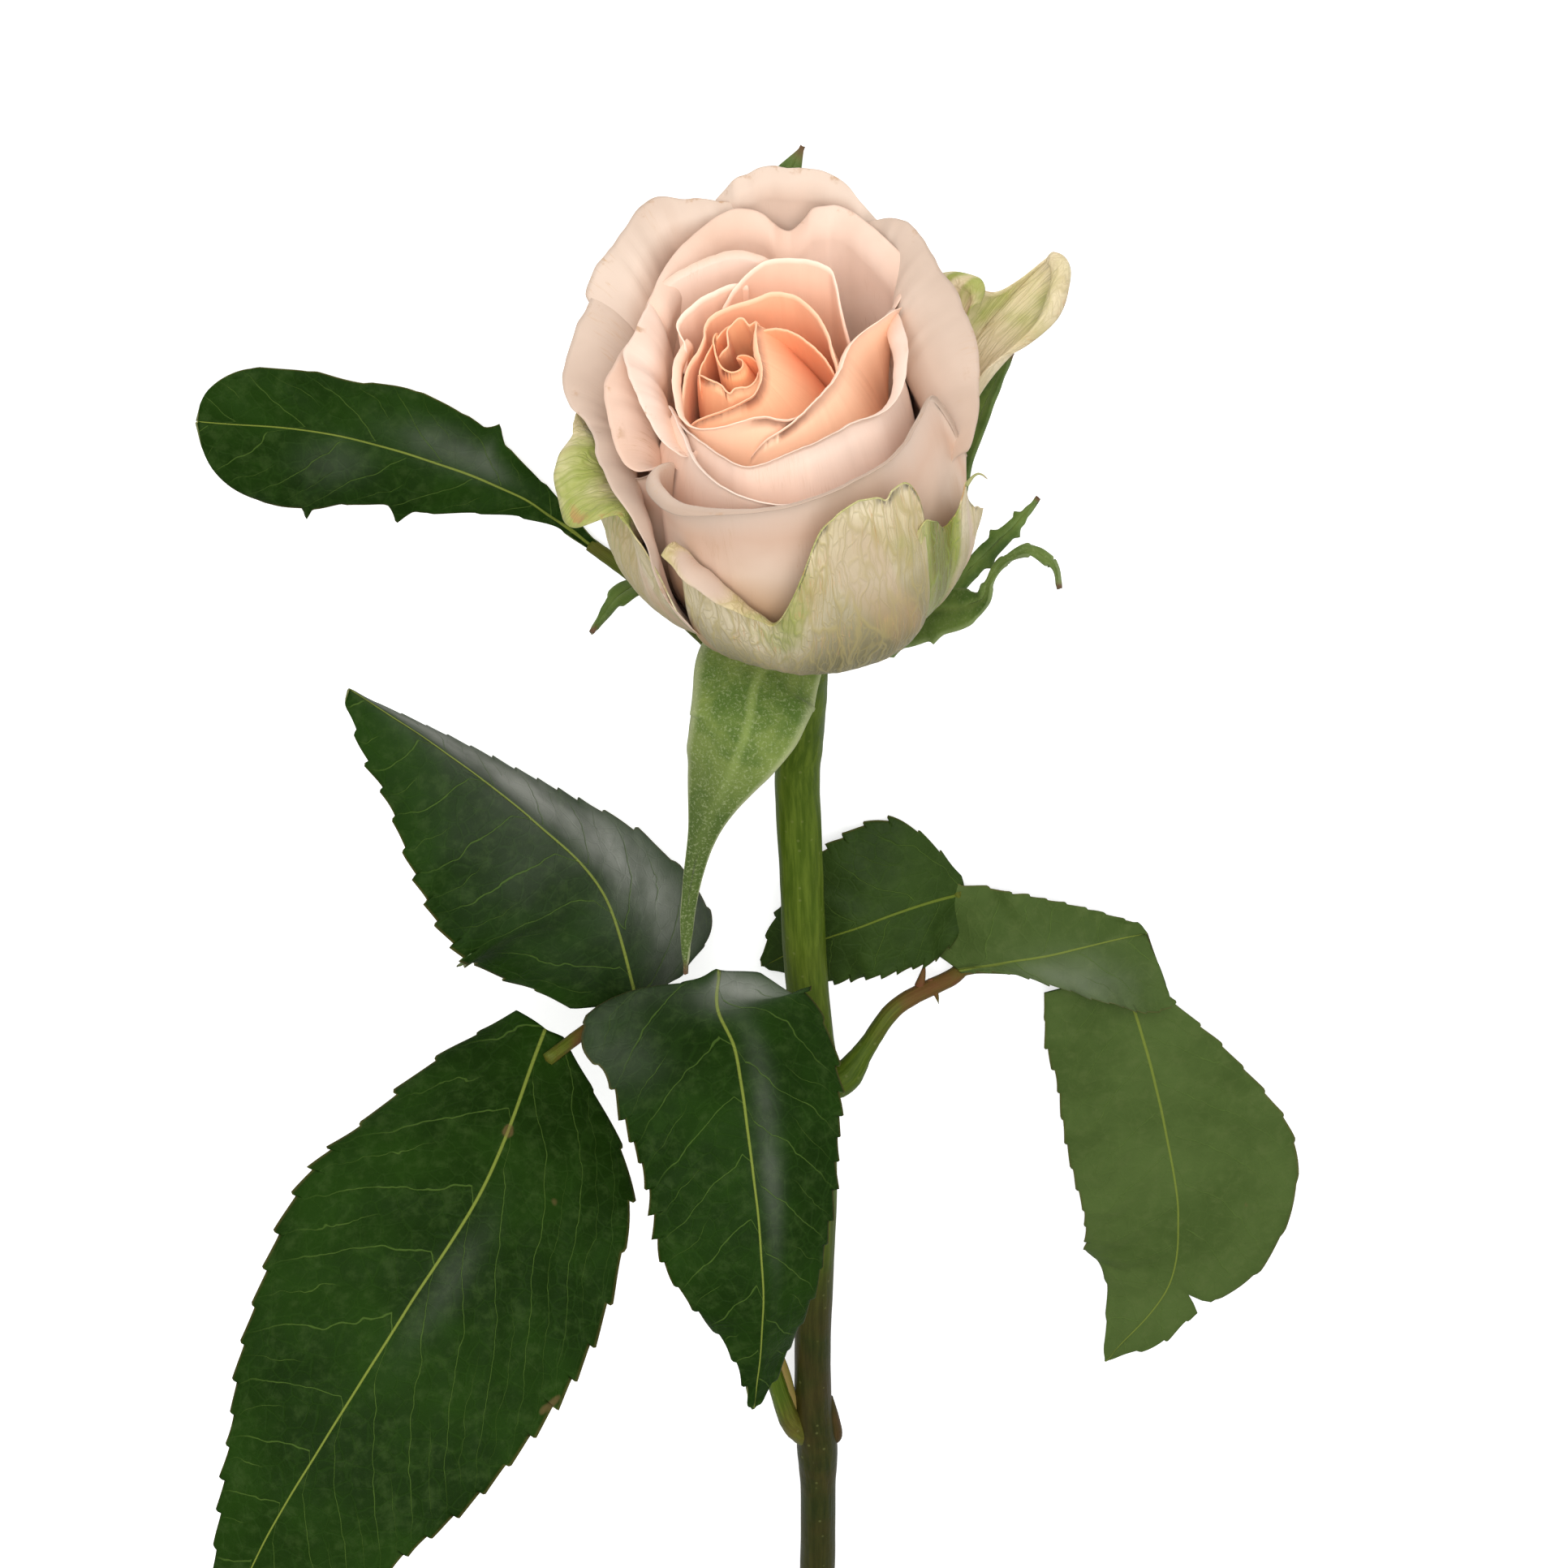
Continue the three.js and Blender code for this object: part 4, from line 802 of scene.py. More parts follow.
def halves(values):
    # One list for each half of a blade, from two lists or from one that both halves share.
    return values if np.ndim(values[0]) else (values, values)


def bladeFace(blade, u, t):
    # Rib point, plus the side way by the half width times cos of the fold, plus its lift and a droop.
    # Lobes add a peak to the half width, a blunt tip closes as a quarter circle, rake leans a half.
    rib = np.asarray(blade["rib"], float)
    place = through(rib, t)
    tangent = unit(through(rib, np.minimum(t + 0.02, 1)) - through(rib, np.maximum(t - 0.02, 0)))
    first, second = np.broadcast_to(np.asarray(blade["facing"], float), (2, 3))
    facing = first + (second - first) * np.minimum(2 * t, 1)[..., None]
    side = unit(np.cross(tangent, facing))
    normal = np.cross(side, tangent)
    wide, rakes = halves(blade["wide"]), halves(blade["rake"])
    width = np.where(u < 0, through(wide[0], t), through(wide[1], t))
    for way, at, size, spread in blade["lobes"]:
        width = width + np.where(u * way > 0, size, 0) * np.clip(1 - np.abs(t - at) / spread, 0, 1) ** 1.4
    blunt = blade["blunt"]
    width = width * np.sqrt(np.clip(1 - (np.maximum(t - 1 + blunt, 0) / blunt) ** 2, 0, 1))
    width = np.abs(u) * np.maximum(width, blade["narrowest"])
    folds = np.broadcast_to(np.asarray(blade["fold"], float), (2, 2))
    low, high = (np.where(u < 0, folds[0, k], folds[1, k]) for k in range(2))
    fold = np.radians(low + (high - low) * t)
    across = np.sign(u) * width * np.cos(fold)
    lift = width * np.sin(fold) - blade["droop"] * width * np.abs(u)
    along = np.where(u < 0, through(rakes[0], t), through(rakes[1], t)) * width
    face = place + side * across[..., None] + normal * lift[..., None] + tangent * along[..., None]
    return face, width, normal


# sizes: the spread of the teeth's depths. start: where on the half width they begin.
saw = {"rise": 0.82, "sizes": (0.6, 1.25), "start": 0.8, "out": 0.9, "onward": 1.1, "drawnIn": 0.3}
# curve: how far the side veins bend. halfShift: of a gap, between the two halves of a blade.
veins = {"curve": 0.012, "halfShift": 0.5, "valleyWide": 0.16, "valleyDeep": 0.25, "ribThick": 0.8,
         "ribWide": 0.12}


def makeBlade(name, blade, materials, nodes, extra=None):
    # Blade with a saw edge, waved margins and bulges between its side veins.
    teeth, seed = blade["teeth"], blade["seed"]
    ways = np.linspace(0, 1, blade["columns"] + 1) ** 0.85
    across = np.concatenate([-ways[:0:-1], ways])
    t, u = np.meshgrid(np.linspace(0, 1, teeth * blade["perTooth"] + 1), across, indexing="ij")
    face, width, normal = bladeFace(blade, u, t)
    ribLine = through(np.asarray(blade["rib"], float), np.linspace(0, 1, 60))
    length = np.linalg.norm(np.diff(ribLine, axis=0), axis=1).sum()
    outer = np.abs(u)
    slope = np.where(u < 0, *blade["veinSlope"])
    way = t * length - slope * width - veins["curve"] * width ** 2
    veinWay = way / blade["veinGap"] + veins["halfShift"] * smooth(-0.04, 0.04, u)
    swell = (0.5 + 0.5 * np.cos(2 * math.pi * veinWay)) * smooth(0, 0.2, outer) * smooth(1.0, 0.7, outer)
    waves = wobble(seed, t * 5 + np.sign(u) * 3, 3) * outer ** 2
    valley = smooth(veins["valleyWide"], 0.0, outer)
    lift = -blade["swell"] * (swell - 0.3) + blade["wave"] * waves - veins["valleyDeep"] * valley
    face = face + normal * lift[..., None]
    # saw teeth that lean to the tip, only in the outermost part of the blade
    rise, beat = saw["rise"], (t * teeth) % 1
    tooth = np.where(beat < rise, (beat / rise) ** 1.3, (1 - beat) / (1 - rise))
    size = through(np.random.default_rng(seed).uniform(*saw["sizes"], teeth + 2), t)
    margin = smooth(saw["start"], 1, outer)
    deep = blade["toothDepth"] * size * smooth(0.0, 0.08, t) * smooth(1.0, 0.97, t) * tooth
    out = unit(np.gradient(face, axis=1)) * np.sign(u)[..., None]
    onward = unit(np.gradient(face, axis=0))
    face = face + (out * saw["out"] + onward * saw["onward"]) * (deep * margin)[..., None]
    drawnIn = saw["drawnIn"] * blade["toothDepth"] * margin * smooth(0, 0.05, t) * smooth(1, 0.95, t)
    face = face - out * drawnIn[..., None]
    ribThick = 1 + veins["ribThick"] * smooth(veins["ribWide"], 0, outer) * (1 - t)
    thick = blade["thickness"] * (0.5 + 0.5 * smooth(1.0, 0.9, outer)) * ribThick
    shape, which = closedSheet(face, thick, -1)
    lie = np.stack([np.sign(u) * width / 100 + 0.5, t * length / 100], -1)
    marks = {"ribWay": twice(width), "veinWay": twice(veinWay), "edge": twice(outer), "along": twice(t),
             "paintedHighlight": twice(bumps(blade["paintedHighlight"], u, t))}
    for key, value in (extra or {}).items():
        marks[key] = np.full(2 * u.size, value)
    makePiece(name, shape, materials, nodes, twice(lie), marks, which)


# rib: points of the midrib. wide: half widths in even steps along it. fold: degrees at base and tip.
# facing: the way the upper side looks. rake: share of the width that a half leans to the tip.
# lobes: [half, place, size, spread]. Spots of painted highlight: [u, t, widths, strength].
# Pairs are for the halves at u below 0 and above 0, except facing, whose pair is for base and middle.
# teeth: on each side, with perTooth rows each; columns: on each half. narrowest, swell and wave: millimetres.
leftLeaflets = {
    "leafletUpperLeft": {
        "seed": 51, "teeth": 16, "veinSlope": (0.35, 0.7), "veinGap": 10, "facing": [0.1, 0.1, 1],
        "fold": [[-3, 0], [-32, -80]],
        "rib": [[-21.5, -31.9, -56], [-25.9, -15.5, -44], [-35.4, -5, -37], [-47.5, 4.6, -33],
            [-60.3, 13.1, -32]],
        "wide": [[9.5, 17, 21.8, 21.4, 20.4, 18.4, 14.9, 10.3, 6.6, 1.2],
            [9.5, 19, 14, 11.8, 10.9, 9.6, 8.6, 7.5, 5.4, 1]],
        "rake": [[0.2, -0.05, 0, 0, 0, 0, 0, 0, 0, 0], [-0.3, -0.5, -0.05, 0, 0, 0, 0, 0, 0, 0]],
        "paintedHighlight": [[-0.35, 0.4, 0.35, 0.3, 0.07], [0.55, 0.55, 0.4, 0.5, 0.95], [0.5, 0.25, 0.3, 0.12, 0.3]]},
    "leafletCentre": {
        "seed": 52, "teeth": 17, "veinSlope": (0.8, 0.8), "veinGap": 10, "swell": 0.3,
        "facing": [[0.1, 0.5, 1], [0.1, 0.2, 1]], "fold": [[0, -30], [-12, -4]],
        "rib": [[-9.3, -26.7, -46], [-9.4, -31.9, -42], [-7, -37, -38], [-5.9, -42.4, -35],
            [-5.1, -47.9, -33.5], [-4.4, -53.4, -33], [-3.7, -59.1, -33], [-3.2, -65.3, -33],
            [-2.9, -71.7, -34.5], [-3.2, -78, -38], [-3.7, -83.9, -42], [-4.4, -89.3, -46]],
        "wide": [[6, 11.5, 13.4, 14.2, 14.5, 14.4, 14.2, 13.8, 13.2, 12.5, 11.7, 10.8, 10.1, 9.2, 7.6, 6.2,
             4.7, 2.8, 0.4],
            [0.5, 5, 17.5, 19, 18, 17.2, 16.4, 15.6, 15, 14.6, 14.4, 14.2, 13.2, 11.3, 8.6, 5.6, 3.2, 1.6,
             0.3]],
        "rake": [[-0.1, -0.15, -0.05, 0, 0, 0, 0, 0, 0, 0], [-0.3, -0.55, -0.12, 0, 0, 0, 0, 0, 0, 0]],
        "paintedHighlight": [[-0.3, 0.04, 0.6, 0.05, 0.75], [-0.2, 0.4, 0.12, 0.22, 0.22], [0.85, 0.15, 0.3, 0.08, 0.15]]},
    "leafletLowerLeft": {
        "seed": 53, "teeth": 20, "veinSlope": (1.7, 0.45), "veinGap": 11, "swell": 0.3,
        "facing": [0, 0.1, 1], "fold": [[-6, -4], [-4, -4]], "paintedHighlight": [[-0.12, 0.34, 0.09, 0.09, 0.1]],
        "rib": [[-34.5, -35.4, -50], [-41.5, -55.4, -35], [-51.9, -72.3, -28], [-62.5, -89.3, -24],
            [-70.9, -103.4, -25], [-79.8, -121.7, -33]],
        "wide": [[3, 17.1, 22.3, 24.5, 23.9, 21.9, 18.5, 15.4, 10.5, 0.5],
            [5, 14.6, 21, 22.4, 20, 16.7, 12.3, 8.3, 4.4, 0.5]],
        "rake": [[0, 0], [-0.45, -0.3, 0, 0, 0, 0, 0, 0, 0, 0]]},
}

rightLeaflets = {
    "leafletBehindStem": {
        "seed": 54, "teeth": 12, "faceUp": True, "facing": [0, -0.3, 1],
        "rib": [[27.1, -16.3, -68], [19.3, -18.4, -65], [11.4, -21.3, -65], [4.1, -24, -68],
            [-3.2, -27.5, -72]],
        "wide": [[5, 9, 9.6, 9.4, 9.1, 8.4, 7.9, 6.9, 4.4, 0.5],
            [2.6, 8.4, 13.3, 14.3, 13.7, 12.4, 10.5, 7.4, 4.6, 0.5]]},
    "leafletFolded": {
        "seed": 55, "teeth": 13, "toothDepth": 0.5, "facing": [0, -0.2, 1], "fold": [[8, 0], [-6, 2]],
        "blunt": 0.02, "paintedHighlight": [[0.6, 0.5, 0.5, 0.3, 0.25]],
        "rib": [[26.5, -28.1, -72], [33.4, -26.8, -68], [40.7, -25.4, -66], [47.3, -23.8, -66],
            [54.4, -22.4, -68]],
        "wide": [[15, 15, 14.4, 12.6, 10.8, 9.3, 7.6, 5.4, 3.4, 1.4],
            [0.6, 0.9, 1.9, 3.6, 6, 8.6, 10.6, 12, 12.8, 12.4]],
        "rake": [[-0.9, -0.6, -0.35, -0.3, -0.3, -0.3], [0.3, 0.3]]},
    "leafletRightEnd": {
        "seed": 56, "teeth": 16, "toothDepth": 0.5, "lobes": [[-1, 0.772, -3.4, 0.014]],
        "rib": [[51, -28.2, -72], [55.5, -40.9, -77], [59.4, -54.7, -84], [62.1, -68.3, -91],
            [61.1, -80.9, -98], [52, -93.3, -104]],
        "wide": [[3, 6, 10.6, 15, 19, 19.6, 14.2, 6.4, 4.4, 0.2],
            [12, 14.3, 14.4, 15.3, 15.3, 14.8, 14.4, 13.8, 7.4, 0.2]],
        "rake": [[0, 0, 0, 0, 0, 0.05, 0.4, 0.6, 0.3, 0], [0, 0]]},
}

bractBlade = {
    "seed": 57, "teeth": 9, "toothDepth": 0.25, "perTooth": 16, "veinSlope": (1.1, 1.1), "veinGap": 9,
    "swell": 0.3, "facing": [[0, -0.3, 1], [0, -0.5, 1]], "fold": [5, 0], "blunt": 0.12,
    "rib": [[-26.6, 33.4, -42], [-37.2, 40.4, -38], [-50.6, 45.5, -35], [-65, 49, -33.5],
        [-81.8, 50.5, -34.3]],
    "wide": [[0.8, 0.8, 2.7, 5, 7.9, 8.6, 10.6, 12.2, 11.8, 10.8],
        [0.8, 2, 3.5, 5.9, 8.1, 9.1, 8.2, 8.4, 8, 7.4]],
    "lobes": [[-1, 0.51, 2.6, 0.035], [-1, 0.76, 1.8, 0.018], [1, 0.36, 1.9, 0.03]],
    "paintedHighlight": [[0.3, 0.42, 0.3, 0.12, 0.35], [-0.35, 0.7, 0.3, 0.08, 0.1]],
}

anyBlade = {"perTooth": 9, "columns": 22, "toothDepth": 1.0, "blunt": 0.01, "narrowest": 0.06, "droop": 0.12,
            "rake": [0, 0], "lobes": [], "paintedHighlight": [], "veinSlope": (0.7, 0.7), "veinGap": 8.5, "swell": 0.35,
            "wave": 0.5, "facing": [0, 0, 1], "fold": [0, 0], "thickness": 0.4}

for name, blade in leftLeaflets.items():
    makeBlade(name, {**anyBlade, **blade}, [darkTop, darkUnder], ["leaf_left"])
for name, blade in rightLeaflets.items():
    sides = [paleTop, paleUnder] if blade.get("faceUp") else [paleUnder, paleTop]
    makeBlade(name, {**anyBlade, **blade}, sides, ["leaf_right"])
makeBlade("bractLeaf", {**anyBlade, **bractBlade}, [darkTop, darkUnder], ["bract_leaf"])

# downy: 1 for the felted one in front, near 0 for bare green.
sepals = {
    "sepalFront": {
        "seed": 61, "downy": 1, "facing": [0, 0.3, 1], "fold": [-12, -10],
        "rib": [[1.9, 19.9, -19.3], [-3.3, 14.5, -14.5], [-4.9, 7.1, -12], [-7.5, 0.4, -15], [-11, -7, -21],
            [-13.2, -16.6, -28], [-13.7, -26.4, -34]],
        "wide": [[5, 8.3, 8.3, 6.8, 4.9, 2.8, 1.9, 1.3, 0.9, 0.1],
            [5, 9.5, 8.3, 8.2, 8, 6.3, 2.4, 1.2, 0.8, 0.1]]},
    "sepalCurled": {
        "seed": 62, "toothDepth": 0.3, "downy": 0.3, "facing": [-0.4, 0.2, 0.9], "fold": [12, 10],
        "lobes": [[1, 0.13, 1.4, 0.03], [1, 0.26, 1.1, 0.03]],
        "rib": [[6.3, 21.5, -20.3], [11.9, 21.6, -19.5], [16.2, 22.2, -17.5], [19.7, 23.1, -15],
            [23.7, 23.4, -12.5], [26.1, 24.3, -11], [26.9, 26.3, -10], [28.2, 28.6, -9.3],
            [30.3, 30.1, -8.7], [32.3, 30.6, -8.2], [34.1, 29.6, -7.6], [35.5, 28, -7], [35.9, 25.5, -6.4]],
        "wide": [[3, 3.4, 3.6, 3.4, 2.6, 1.3, 0.7, 0.6, 0.7, 0.8, 0.7, 0.4, 0.1],
            [3, 4, 4.3, 4, 3, 1.4, 0.7, 0.6, 0.7, 0.8, 0.7, 0.4, 0.1]]},
    "sepalLobe": {
        "seed": 63, "teeth": 6, "toothDepth": 0.1, "downy": 0.1, "facing": [-0.2, 0.2, 1], "fold": [5, 5],
        "wide": [1.2, 1.3, 1.3, 0.9, 0.06],
        "rib": [[21.5, 24.4, -14], [24.1, 27.7, -12.8], [27.4, 31.1, -11.6], [30.6, 34.3, -10.4],
            [33.4, 37.6, -9.2]],
        "lobes": [[-1, 0.3, 0.9, 0.05], [1, 0.42, 0.9, 0.05], [-1, 0.58, 0.8, 0.05], [1, 0.7, 0.7, 0.05],
            [-1, 0.8, 0.6, 0.04]]},
    "sepalRight": {
        "seed": 64, "downy": 0.1, "facing": [-0.7, 0, 0.7],
        "rib": [[5.5, 25, -22.9], [13, 30, -25], [21.4, 36, -22.5], [24.2, 44, -17.5], [27.2, 51.1, -13.5],
            [30, 57, -11.5]],
        "wide": [[3, 4.4, 3.8, 3, 1.8, 0.3], [3, 4, 2.8, 1.9, 1.2, 0.3]]},
    "sepalUnder": {
        "seed": 65, "downy": 0.2, "facing": [0, -0.4, 1],
        "rib": [[2.2, 26.2, -24.1], [1.5, 36.8, -32], [1, 47, -31], [1, 57.2, -26], [1, 65.8, -21.8],
            [-1.6, 76.1, -18.2], [2.5, 85.2, -16.4]],
        "wide": [3, 4.6, 4.8, 4.6, 4.4, 4.2, 3.8, 3.4, 3, 2.8, 2.5, 2.1, 0.06]},
    "sepalLeft": {
        "seed": 66, "teeth": 6, "toothDepth": 0.5, "downy": 0.1, "facing": [0.2, 0.5, 0.8], "fold": [8, 8],
        "wide": [3, 3, 2.2, 1.7, 1.3, 0.06],
        "rib": [[-1.1, 22.5, -21.5], [-7, 23.5, -24], [-13, 26.5, -24.5], [-18.5, 27, -21.5],
            [-22.2, 25, -17], [-25.4, 20.1, -12]]},
}

anySepal = {"perTooth": 14, "columns": 14, "swell": 0.05, "wave": 0.15, "veinGap": 5, "thickness": 0.7,
            "teeth": 8, "toothDepth": 0, "fold": [10, 10]}

for name, sepal in sepals.items():
    makeBlade(name, {**anyBlade, **anySepal, **sepal}, [sepalDown, sepalDown], ["calyx"],
              {"downy": sepal["downy"]})
print("rose: leaves and sepals made")

tubes = {"cap": 0.3, "mapLength": 20}  # millimetres that an end stands out, and for one length of the map


def makeTube(name, stations, material, nodes, rings, extra):
    # A closed round tube with its ends drawn in to a point; extra gives its numbers along it.
    t, angle, line, tangent, ring = tube(stations, **rings)
    cap = tubes["cap"]
    shape = closedTube(ring, line[0] - tangent[0] * cap, line[-1] + tangent[-1] * cap)
    length = np.linalg.norm(np.diff(line, axis=0), axis=1).sum() / tubes["mapLength"]
    numbers = {key: ringNumbers(through(values, t), rings["sides"]) for key, values in extra.items()}
    makePiece(name, shape, [material], nodes, tubeMap(angle, t, length), numbers)


# line: [x, y, z, radius]. low and blush: how brown and how red along the stem. cutShares and cutDips: the
# rings of the cut face, as shares of the stem's radius and as depths below its plane.
stem = {
    "line": [
        [2.65, 17.42, -29.52, 3.4], [2.7, 12, -36, 3.3], [2.3, 6, -41.5, 3.25], [1.9, 0, -45.8, 3.25],
        [2.5, -12, -53.4, 3.2], [3, -24, -60.3, 3.2], [4, -36, -67, 3.2], [4.6, -44, -71.6, 3.6],
        [5, -52, -76, 3.1], [5.2, -64, -83, 3], [4.9, -76, -89.8, 2.95], [4.6, -88, -96.7, 2.9],
        [4.7, -100, -103.4, 3], [5.4, -108, -108, 3.3], [5.6, -116, -112.5, 2.9], [5.6, -132, -121.5, 2.9],
        [5.2, -150, -131.6, 2.9], [4.6, -168, -141.6, 2.95], [4, -190, -154.9, 3], [3.4, -206, -164.4, 3]],
    "rings": {"sides": 40, "steps": 420, "waver": 0.012, "seed": 3},
    "low": [0, 0, 0.05, 0.1, 0.2, 0.45, 0.75, 0.9, 1, 1, 1],
    "blush": [0, 0, 0.1, 0.3, 0.2, 0.4, 0.5, 0.3, 0.5, 0.4], "blushStrength": 0.3,
    "cutAt": np.array([3.8, -192, -155]), "cutTilt": math.radians(55),
    "cutShares": np.array([0.96, 0.9, 0.6, 0.3, 0.05]), "cutDips": np.array([0.0, -0.02, 0.05, 0.18, 0.22]),
    "cutPaint": [0.55, 1, 1, 1, 1], "mapLength": 12,
}


def makeStem():
    # The long tube, its last rings pressed on to the slanting cut, and the cut face drawn in ring by ring.
    t, angle, line, tangent, ring = tube(stem["line"], **stem["rings"])
    plane = np.array([0.0, math.cos(stem["cutTilt"]), math.sin(stem["cutTilt"])])
    over = (ring - stem["cutAt"]) @ plane
    ring = ring - tangent[:, None] * (np.minimum(over, 0) / np.sum(tangent * plane, -1)[:, None])[..., None]
    last = int(np.argmax(over.max(1) < 0)) or len(t) - 1
    ring, t = ring[:last + 1], t[:last + 1]
    centre = ring[-1].mean(0)
    face = centre + (ring[-1] - centre) * stem["cutShares"][:, None, None]
    face = face - plane * stem["cutDips"][:, None, None]
    shape = closedTube(np.concatenate([ring, face]), line[0], centre - plane * stem["cutDips"][-1])
    way = np.concatenate([t, np.ones(len(stem["cutShares"]))])
    along = {"low": through(stem["low"], way), "cut": np.concatenate([np.zeros(len(t)), stem["cutPaint"]]),
             "blush": through(stem["blush"], way) * stem["blushStrength"], "dry": way * 0}
    numbers = {key: ringNumbers(values, stem["rings"]["sides"]) for key, values in along.items()}
    lie = tubeMap(angle, way, stem["mapLength"])
    makePiece("stemTube", shape, [stemBark], ["stem"], lie, numbers)


makeStem()

stalks = {
    "stalkLeft": {
        "slot": "leaf_dark", "node": "leaf_left",
        "line": [[4.5, -106.5, -107, 2], [1.5, -103.5, -104, 1.9], [-0.6, -98, -100, 1.5],
            [-5.2, -80.9, -90, 1.2], [-10.8, -60.5, -80, 1.1], [-16.6, -43.3, -70, 1.1],
            [-21.6, -33.2, -58, 1.1], [-27.2, -34.8, -52, 1], [-34, -39.6, -47.4, 1]],
        "blush": [0.5, 0.4, 0.3, 0.2, 0.3, 0.5, 0.6, 0.9, 0.8]},
    "stalkCentre": {
        "slot": "leaf_dark", "node": "leaf_left", "blush": [0.4, 0.4],
        "line": [[-20, -36, -64, 0.9], [-15, -38.5, -67.5, 0.9], [-9.6, -36.9, -65.7, 0.9]]},
    "stalkRight": {
        "slot": "leaf_pale", "node": "leaf_right", "blush": [0, 0, 0.1, 0.6, 0.9, 0.5, 0.3, 0.3],
        "line": [[5.2, -46, -72, 2.6], [9.2, -44.2, -71, 2.5], [12.4, -39.8, -70.5, 1.5],
            [17, -33.6, -70, 1.35], [25, -29.6, -73, 1.3], [29, -27.8, -73.9, 1.1],
            [41.6, -28.5, -74.3, 1.05], [51, -29.5, -74, 1]]},
    "budScar": {
        "slot": "stem", "node": "stem", "low": 0.9, "blush": [0.2, 0.6],
        "line": [[7.4, -99, -103.4, 0.5], [7.9, -102.5, -105, 1], [8.3, -105.8, -107, 1.2],
            [8.2, -107.4, -108, 0.4]]},
    "stalkBehind": {
        "slot": "leaf_pale", "node": "leaf_right", "blush": [0.3, 0.3],
        "line": [[26.5, -27, -73.5, 0.9], [29, -21.5, -70.9, 0.9], [26, -16, -67.6, 0.9]]},
    "prickleUpper": {
        "slot": "leaf_pale", "node": "leaf_right", "blush": [1, 1],
        "line": [[20.5, -30.5, -71, 0.8], [21, -28.4, -70.3, 0.4], [21.2, -26.9, -70, 0.05]]},
    "prickleLower": {
        "slot": "leaf_pale", "node": "leaf_right", "blush": [1, 1],
        "line": [[22, -29.7, -71.8, 0.8], [23, -31.8, -71.6, 0.4], [23.4, -33.2, -71.7, 0.05]]},
    "stalkBract": {
        "slot": "leaf_dark", "node": "bract_leaf", "blush": [0.2, 0.3],
        "line": [[2.4, 8, -40, 1.5], [-3, 12.5, -40.5, 1.3], [-12, 21.5, -42.5, 1.15],
            [-20, 28.5, -42.8, 1.1], [-27.5, 34, -41.9, 1]]},
    "hipSwelling": {
        "slot": "calyx", "node": "calyx", "blush": [0, 0],
        "line": [[2.1, 24.05, -20.42, 4.6], [2.2, 22.6, -22.6, 5.2], [2.4, 20.6, -25.2, 5],
            [2.5, 18.8, -27.6, 4.2], [2.6, 17.8, -29, 3.7], [2.66, 16.8, -30.3, 3.5],
            [2.68, 15.6, -31.7, 3.41]]},
}

anyStalk = {"low": 0.1, "rings": {"sides": 20, "steps": 60, "waver": 0.02, "seed": 7}}

for name, stalk in stalks.items():
    low = stalk.get("low", anyStalk["low"])
    extra = {"low": [low, low], "cut": [0, 0], "dry": [0, 0], "blush": stalk["blush"]}
    makeTube(name, stalk["line"], stemBark, [stalk["node"]], anyStalk["rings"], extra)

stipule = {
    "seed": 67, "teeth": 6, "toothDepth": 0, "swell": 0.05, "wave": 0.1, "facing": [0, 0.2, 1],
    "fold": [-10, -20],
    "rib": [[1.5, -105, -104.5], [0.8, -100, -101.5], [-0.6, -95, -98.5], [-2.2, -90, -95.5], [-4, -85, -93]],
    "wide": [[1.1, 1.7, 2, 1.7, 0.2], [1.1, 1.4, 1.8, 1.5, 0.2]], "thickness": 0.5,
}
stipulePaint = {"low": 0.6, "cut": 0, "dry": 0.8, "blush": 0.7}
makeBlade("stipule", {**anyBlade, **stipule}, [stemBark, stemBark], ["leaf_left"], stipulePaint)

# The thin curl at the tip of the right guard petal.
hair = {
    "line": [[22.4, 36.7, 17.6, 0.3], [23.1, 37.6, 17.8, 0.2], [23.7, 38, 18, 0.15], [24.3, 37.9, 18, 0.12],
             [24.8, 37.5, 18, 0.08]],
    "rings": {"sides": 10, "steps": 24, "waver": 0.0, "seed": 1},
    # the curl carries half the painted base shade
    "paint": {"tone": [0.1, 0.1], "green": [0.2, 0.2], "veined": [0, 0], "rim": [0, 0], "paintedShade": [0.5, 0.5]},
}
makeTube("guardHair", hair["line"], petalSkin, ["bloom"], hair["rings"], hair["paint"])
print("rose: stem and stalks made")

ground = {"reach": 2.5, "height": -0.0001, "paint": (0.8, 0.8, 0.8, 1), "seenGlow": 0.5, "glow": 0.08}


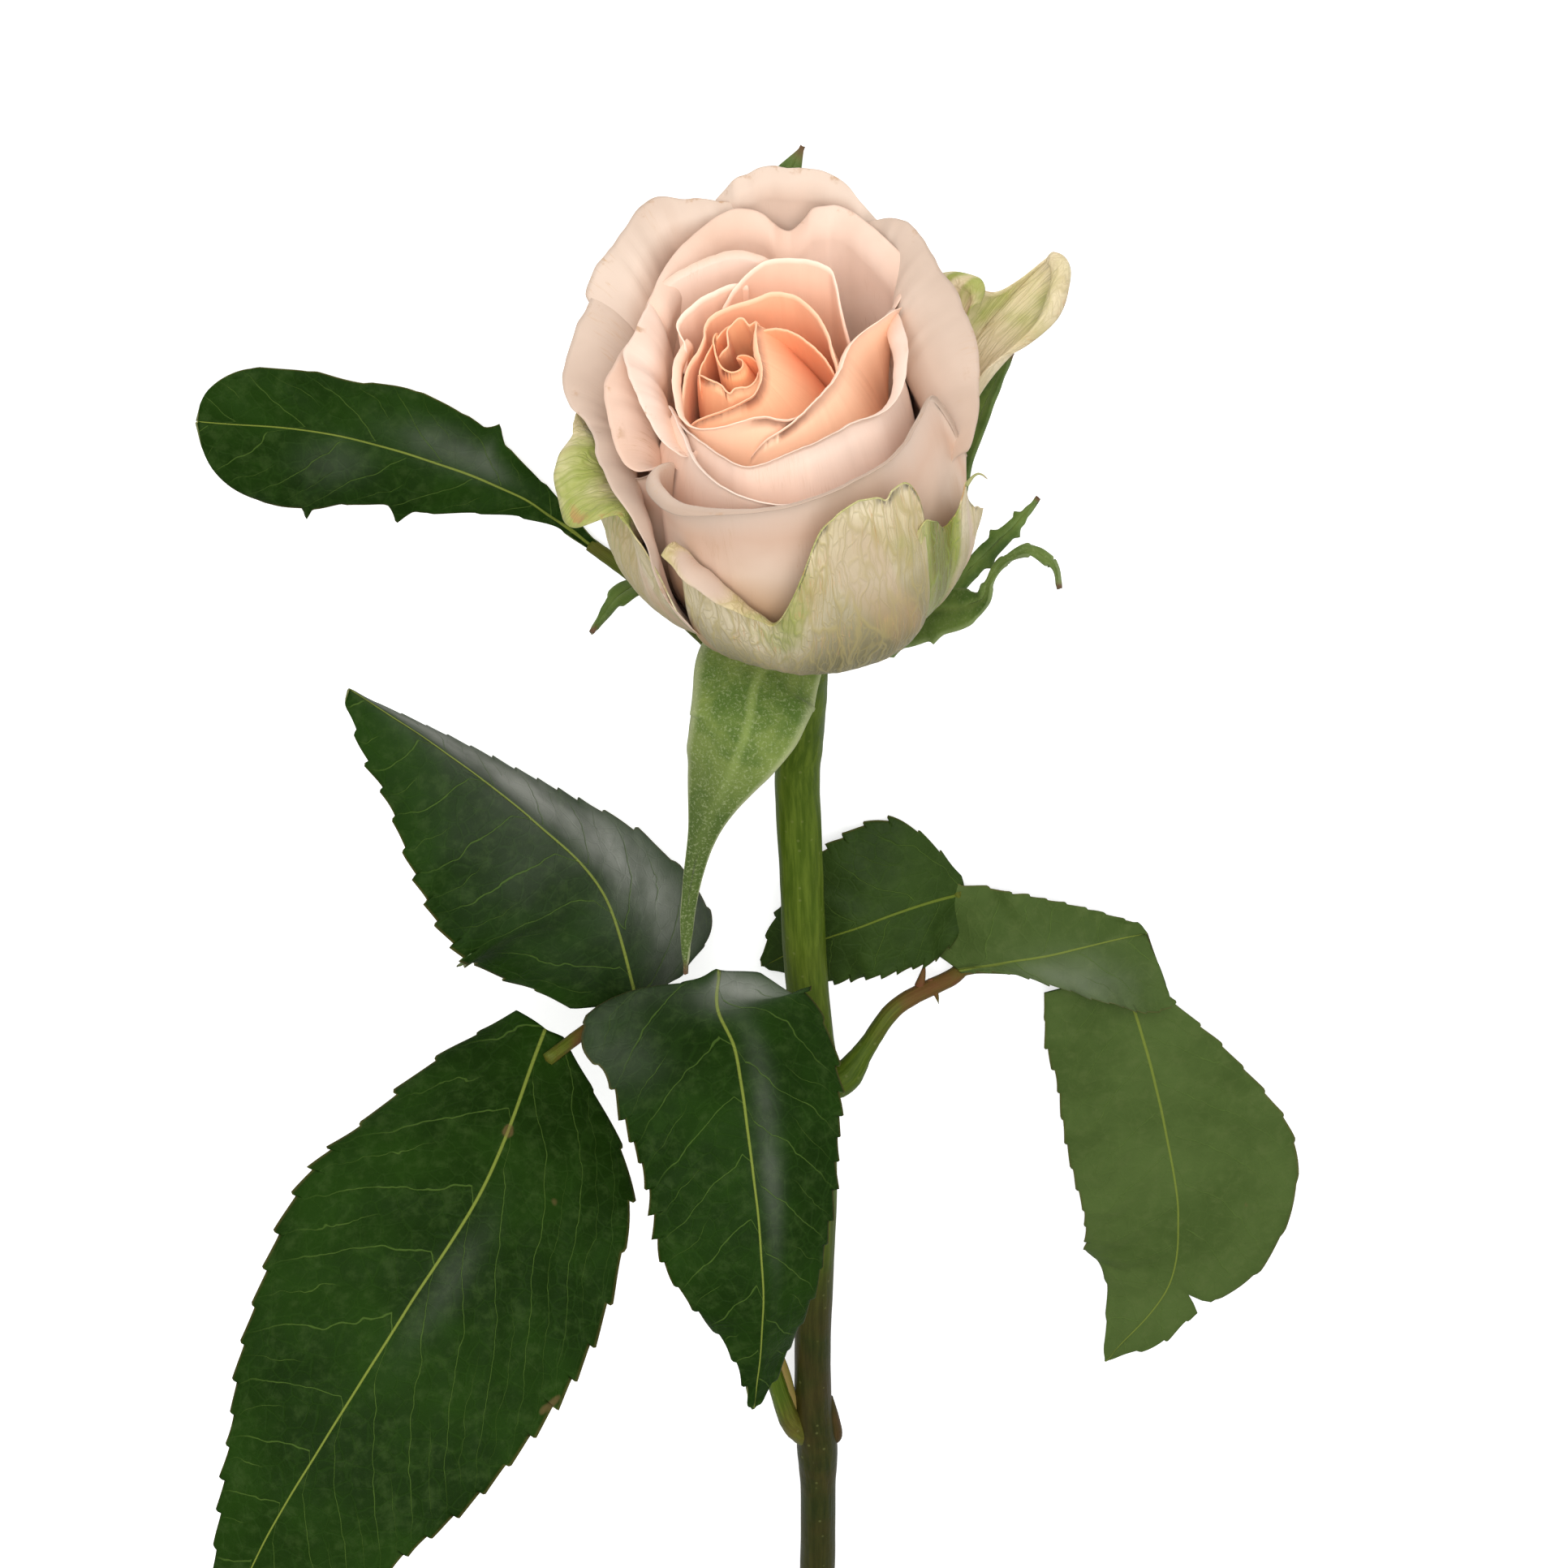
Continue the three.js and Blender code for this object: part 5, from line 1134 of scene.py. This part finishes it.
def makeStage():
    # A wide level floor just under the rose; it looks white but throws only a little light up.
    mesh = bpy.data.meshes.new("floor")
    reach, height = ground["reach"], ground["height"]
    mesh.from_pydata([(-reach, -reach, height), (reach, -reach, height), (reach, reach, height),
                      (-reach, reach, height)], [], [(0, 1, 2, 3)])
    floor = bpy.data.objects.new("floor", mesh)
    scene.collection.objects.link(floor)
    f = Finish("floorWhite")
    seen = f.add("LightPath", None, "Is Camera Ray")
    glow = f.math("MULTIPLY_ADD", seen, ground["seenGlow"], ground["glow"])
    mesh.materials.append(f.close({"Base Color": ground["paint"], "Roughness": 0.9,
                                   "Emission Color": (1, 1, 1, 1), "Emission Strength": glow}))


lamps = {
    "softTop": {"place": (-0.25, 0.8, 1.0), "size": 0.9, "power": 6.8},
    "softEye": {"place": (0.25, 0.35, 1.15), "size": 1.2, "power": 8.8},
}
studio = {"target": (0, 0.06, 0.03), "skyPaint": (1, 1, 1, 1), "skyStrength": 0.52}


def addLight(name, place, size, power):
    # A square soft light at a place, turned to the target.
    data = bpy.data.lights.new(name, "AREA")
    data.size, data.energy = size, power
    lamp = bpy.data.objects.new(name, data)
    scene.collection.objects.link(lamp)
    lamp.location = place
    way = Vector(studio["target"]) - Vector(place)
    lamp.rotation_euler = way.to_track_quat("-Z", "Y").to_euler()


makeStage()
for name, lamp in lamps.items():
    addLight(name, **lamp)
world = bpy.data.worlds.new("studio")
world.use_nodes = True
sky = world.node_tree.nodes["Background"].inputs
sky["Color"].default_value, sky["Strength"].default_value = studio["skyPaint"], studio["skyStrength"]
scene.world = world
scene.view_settings.view_transform = "Standard"

# The eye looks straight down the upright rose's z, from this many millimetres; focal and frame are in pixels.
eye = {"distance": 400.0, "focal": 3840.0, "frame": 1932.0, "sensor": 36.0, "near": 0.01}
camera = bpy.data.objects.new("eye", bpy.data.cameras.new("eye"))
camera.data.sensor_width = eye["sensor"]
camera.data.lens = eye["sensor"] * eye["focal"] / eye["frame"]
camera.data.clip_start = eye["near"]
c, s = math.cos(laying["tilt"]), math.sin(laying["tilt"])
right, onward, up = laying["shift"]
camera.location = (right / 1000, (eye["distance"] * s + onward) / 1000, (eye["distance"] * c + up) / 1000)
camera.rotation_euler = (-laying["tilt"], 0, 0)
scene.collection.objects.link(camera)
scene.camera = camera
print("rose: floor, lights and camera set")
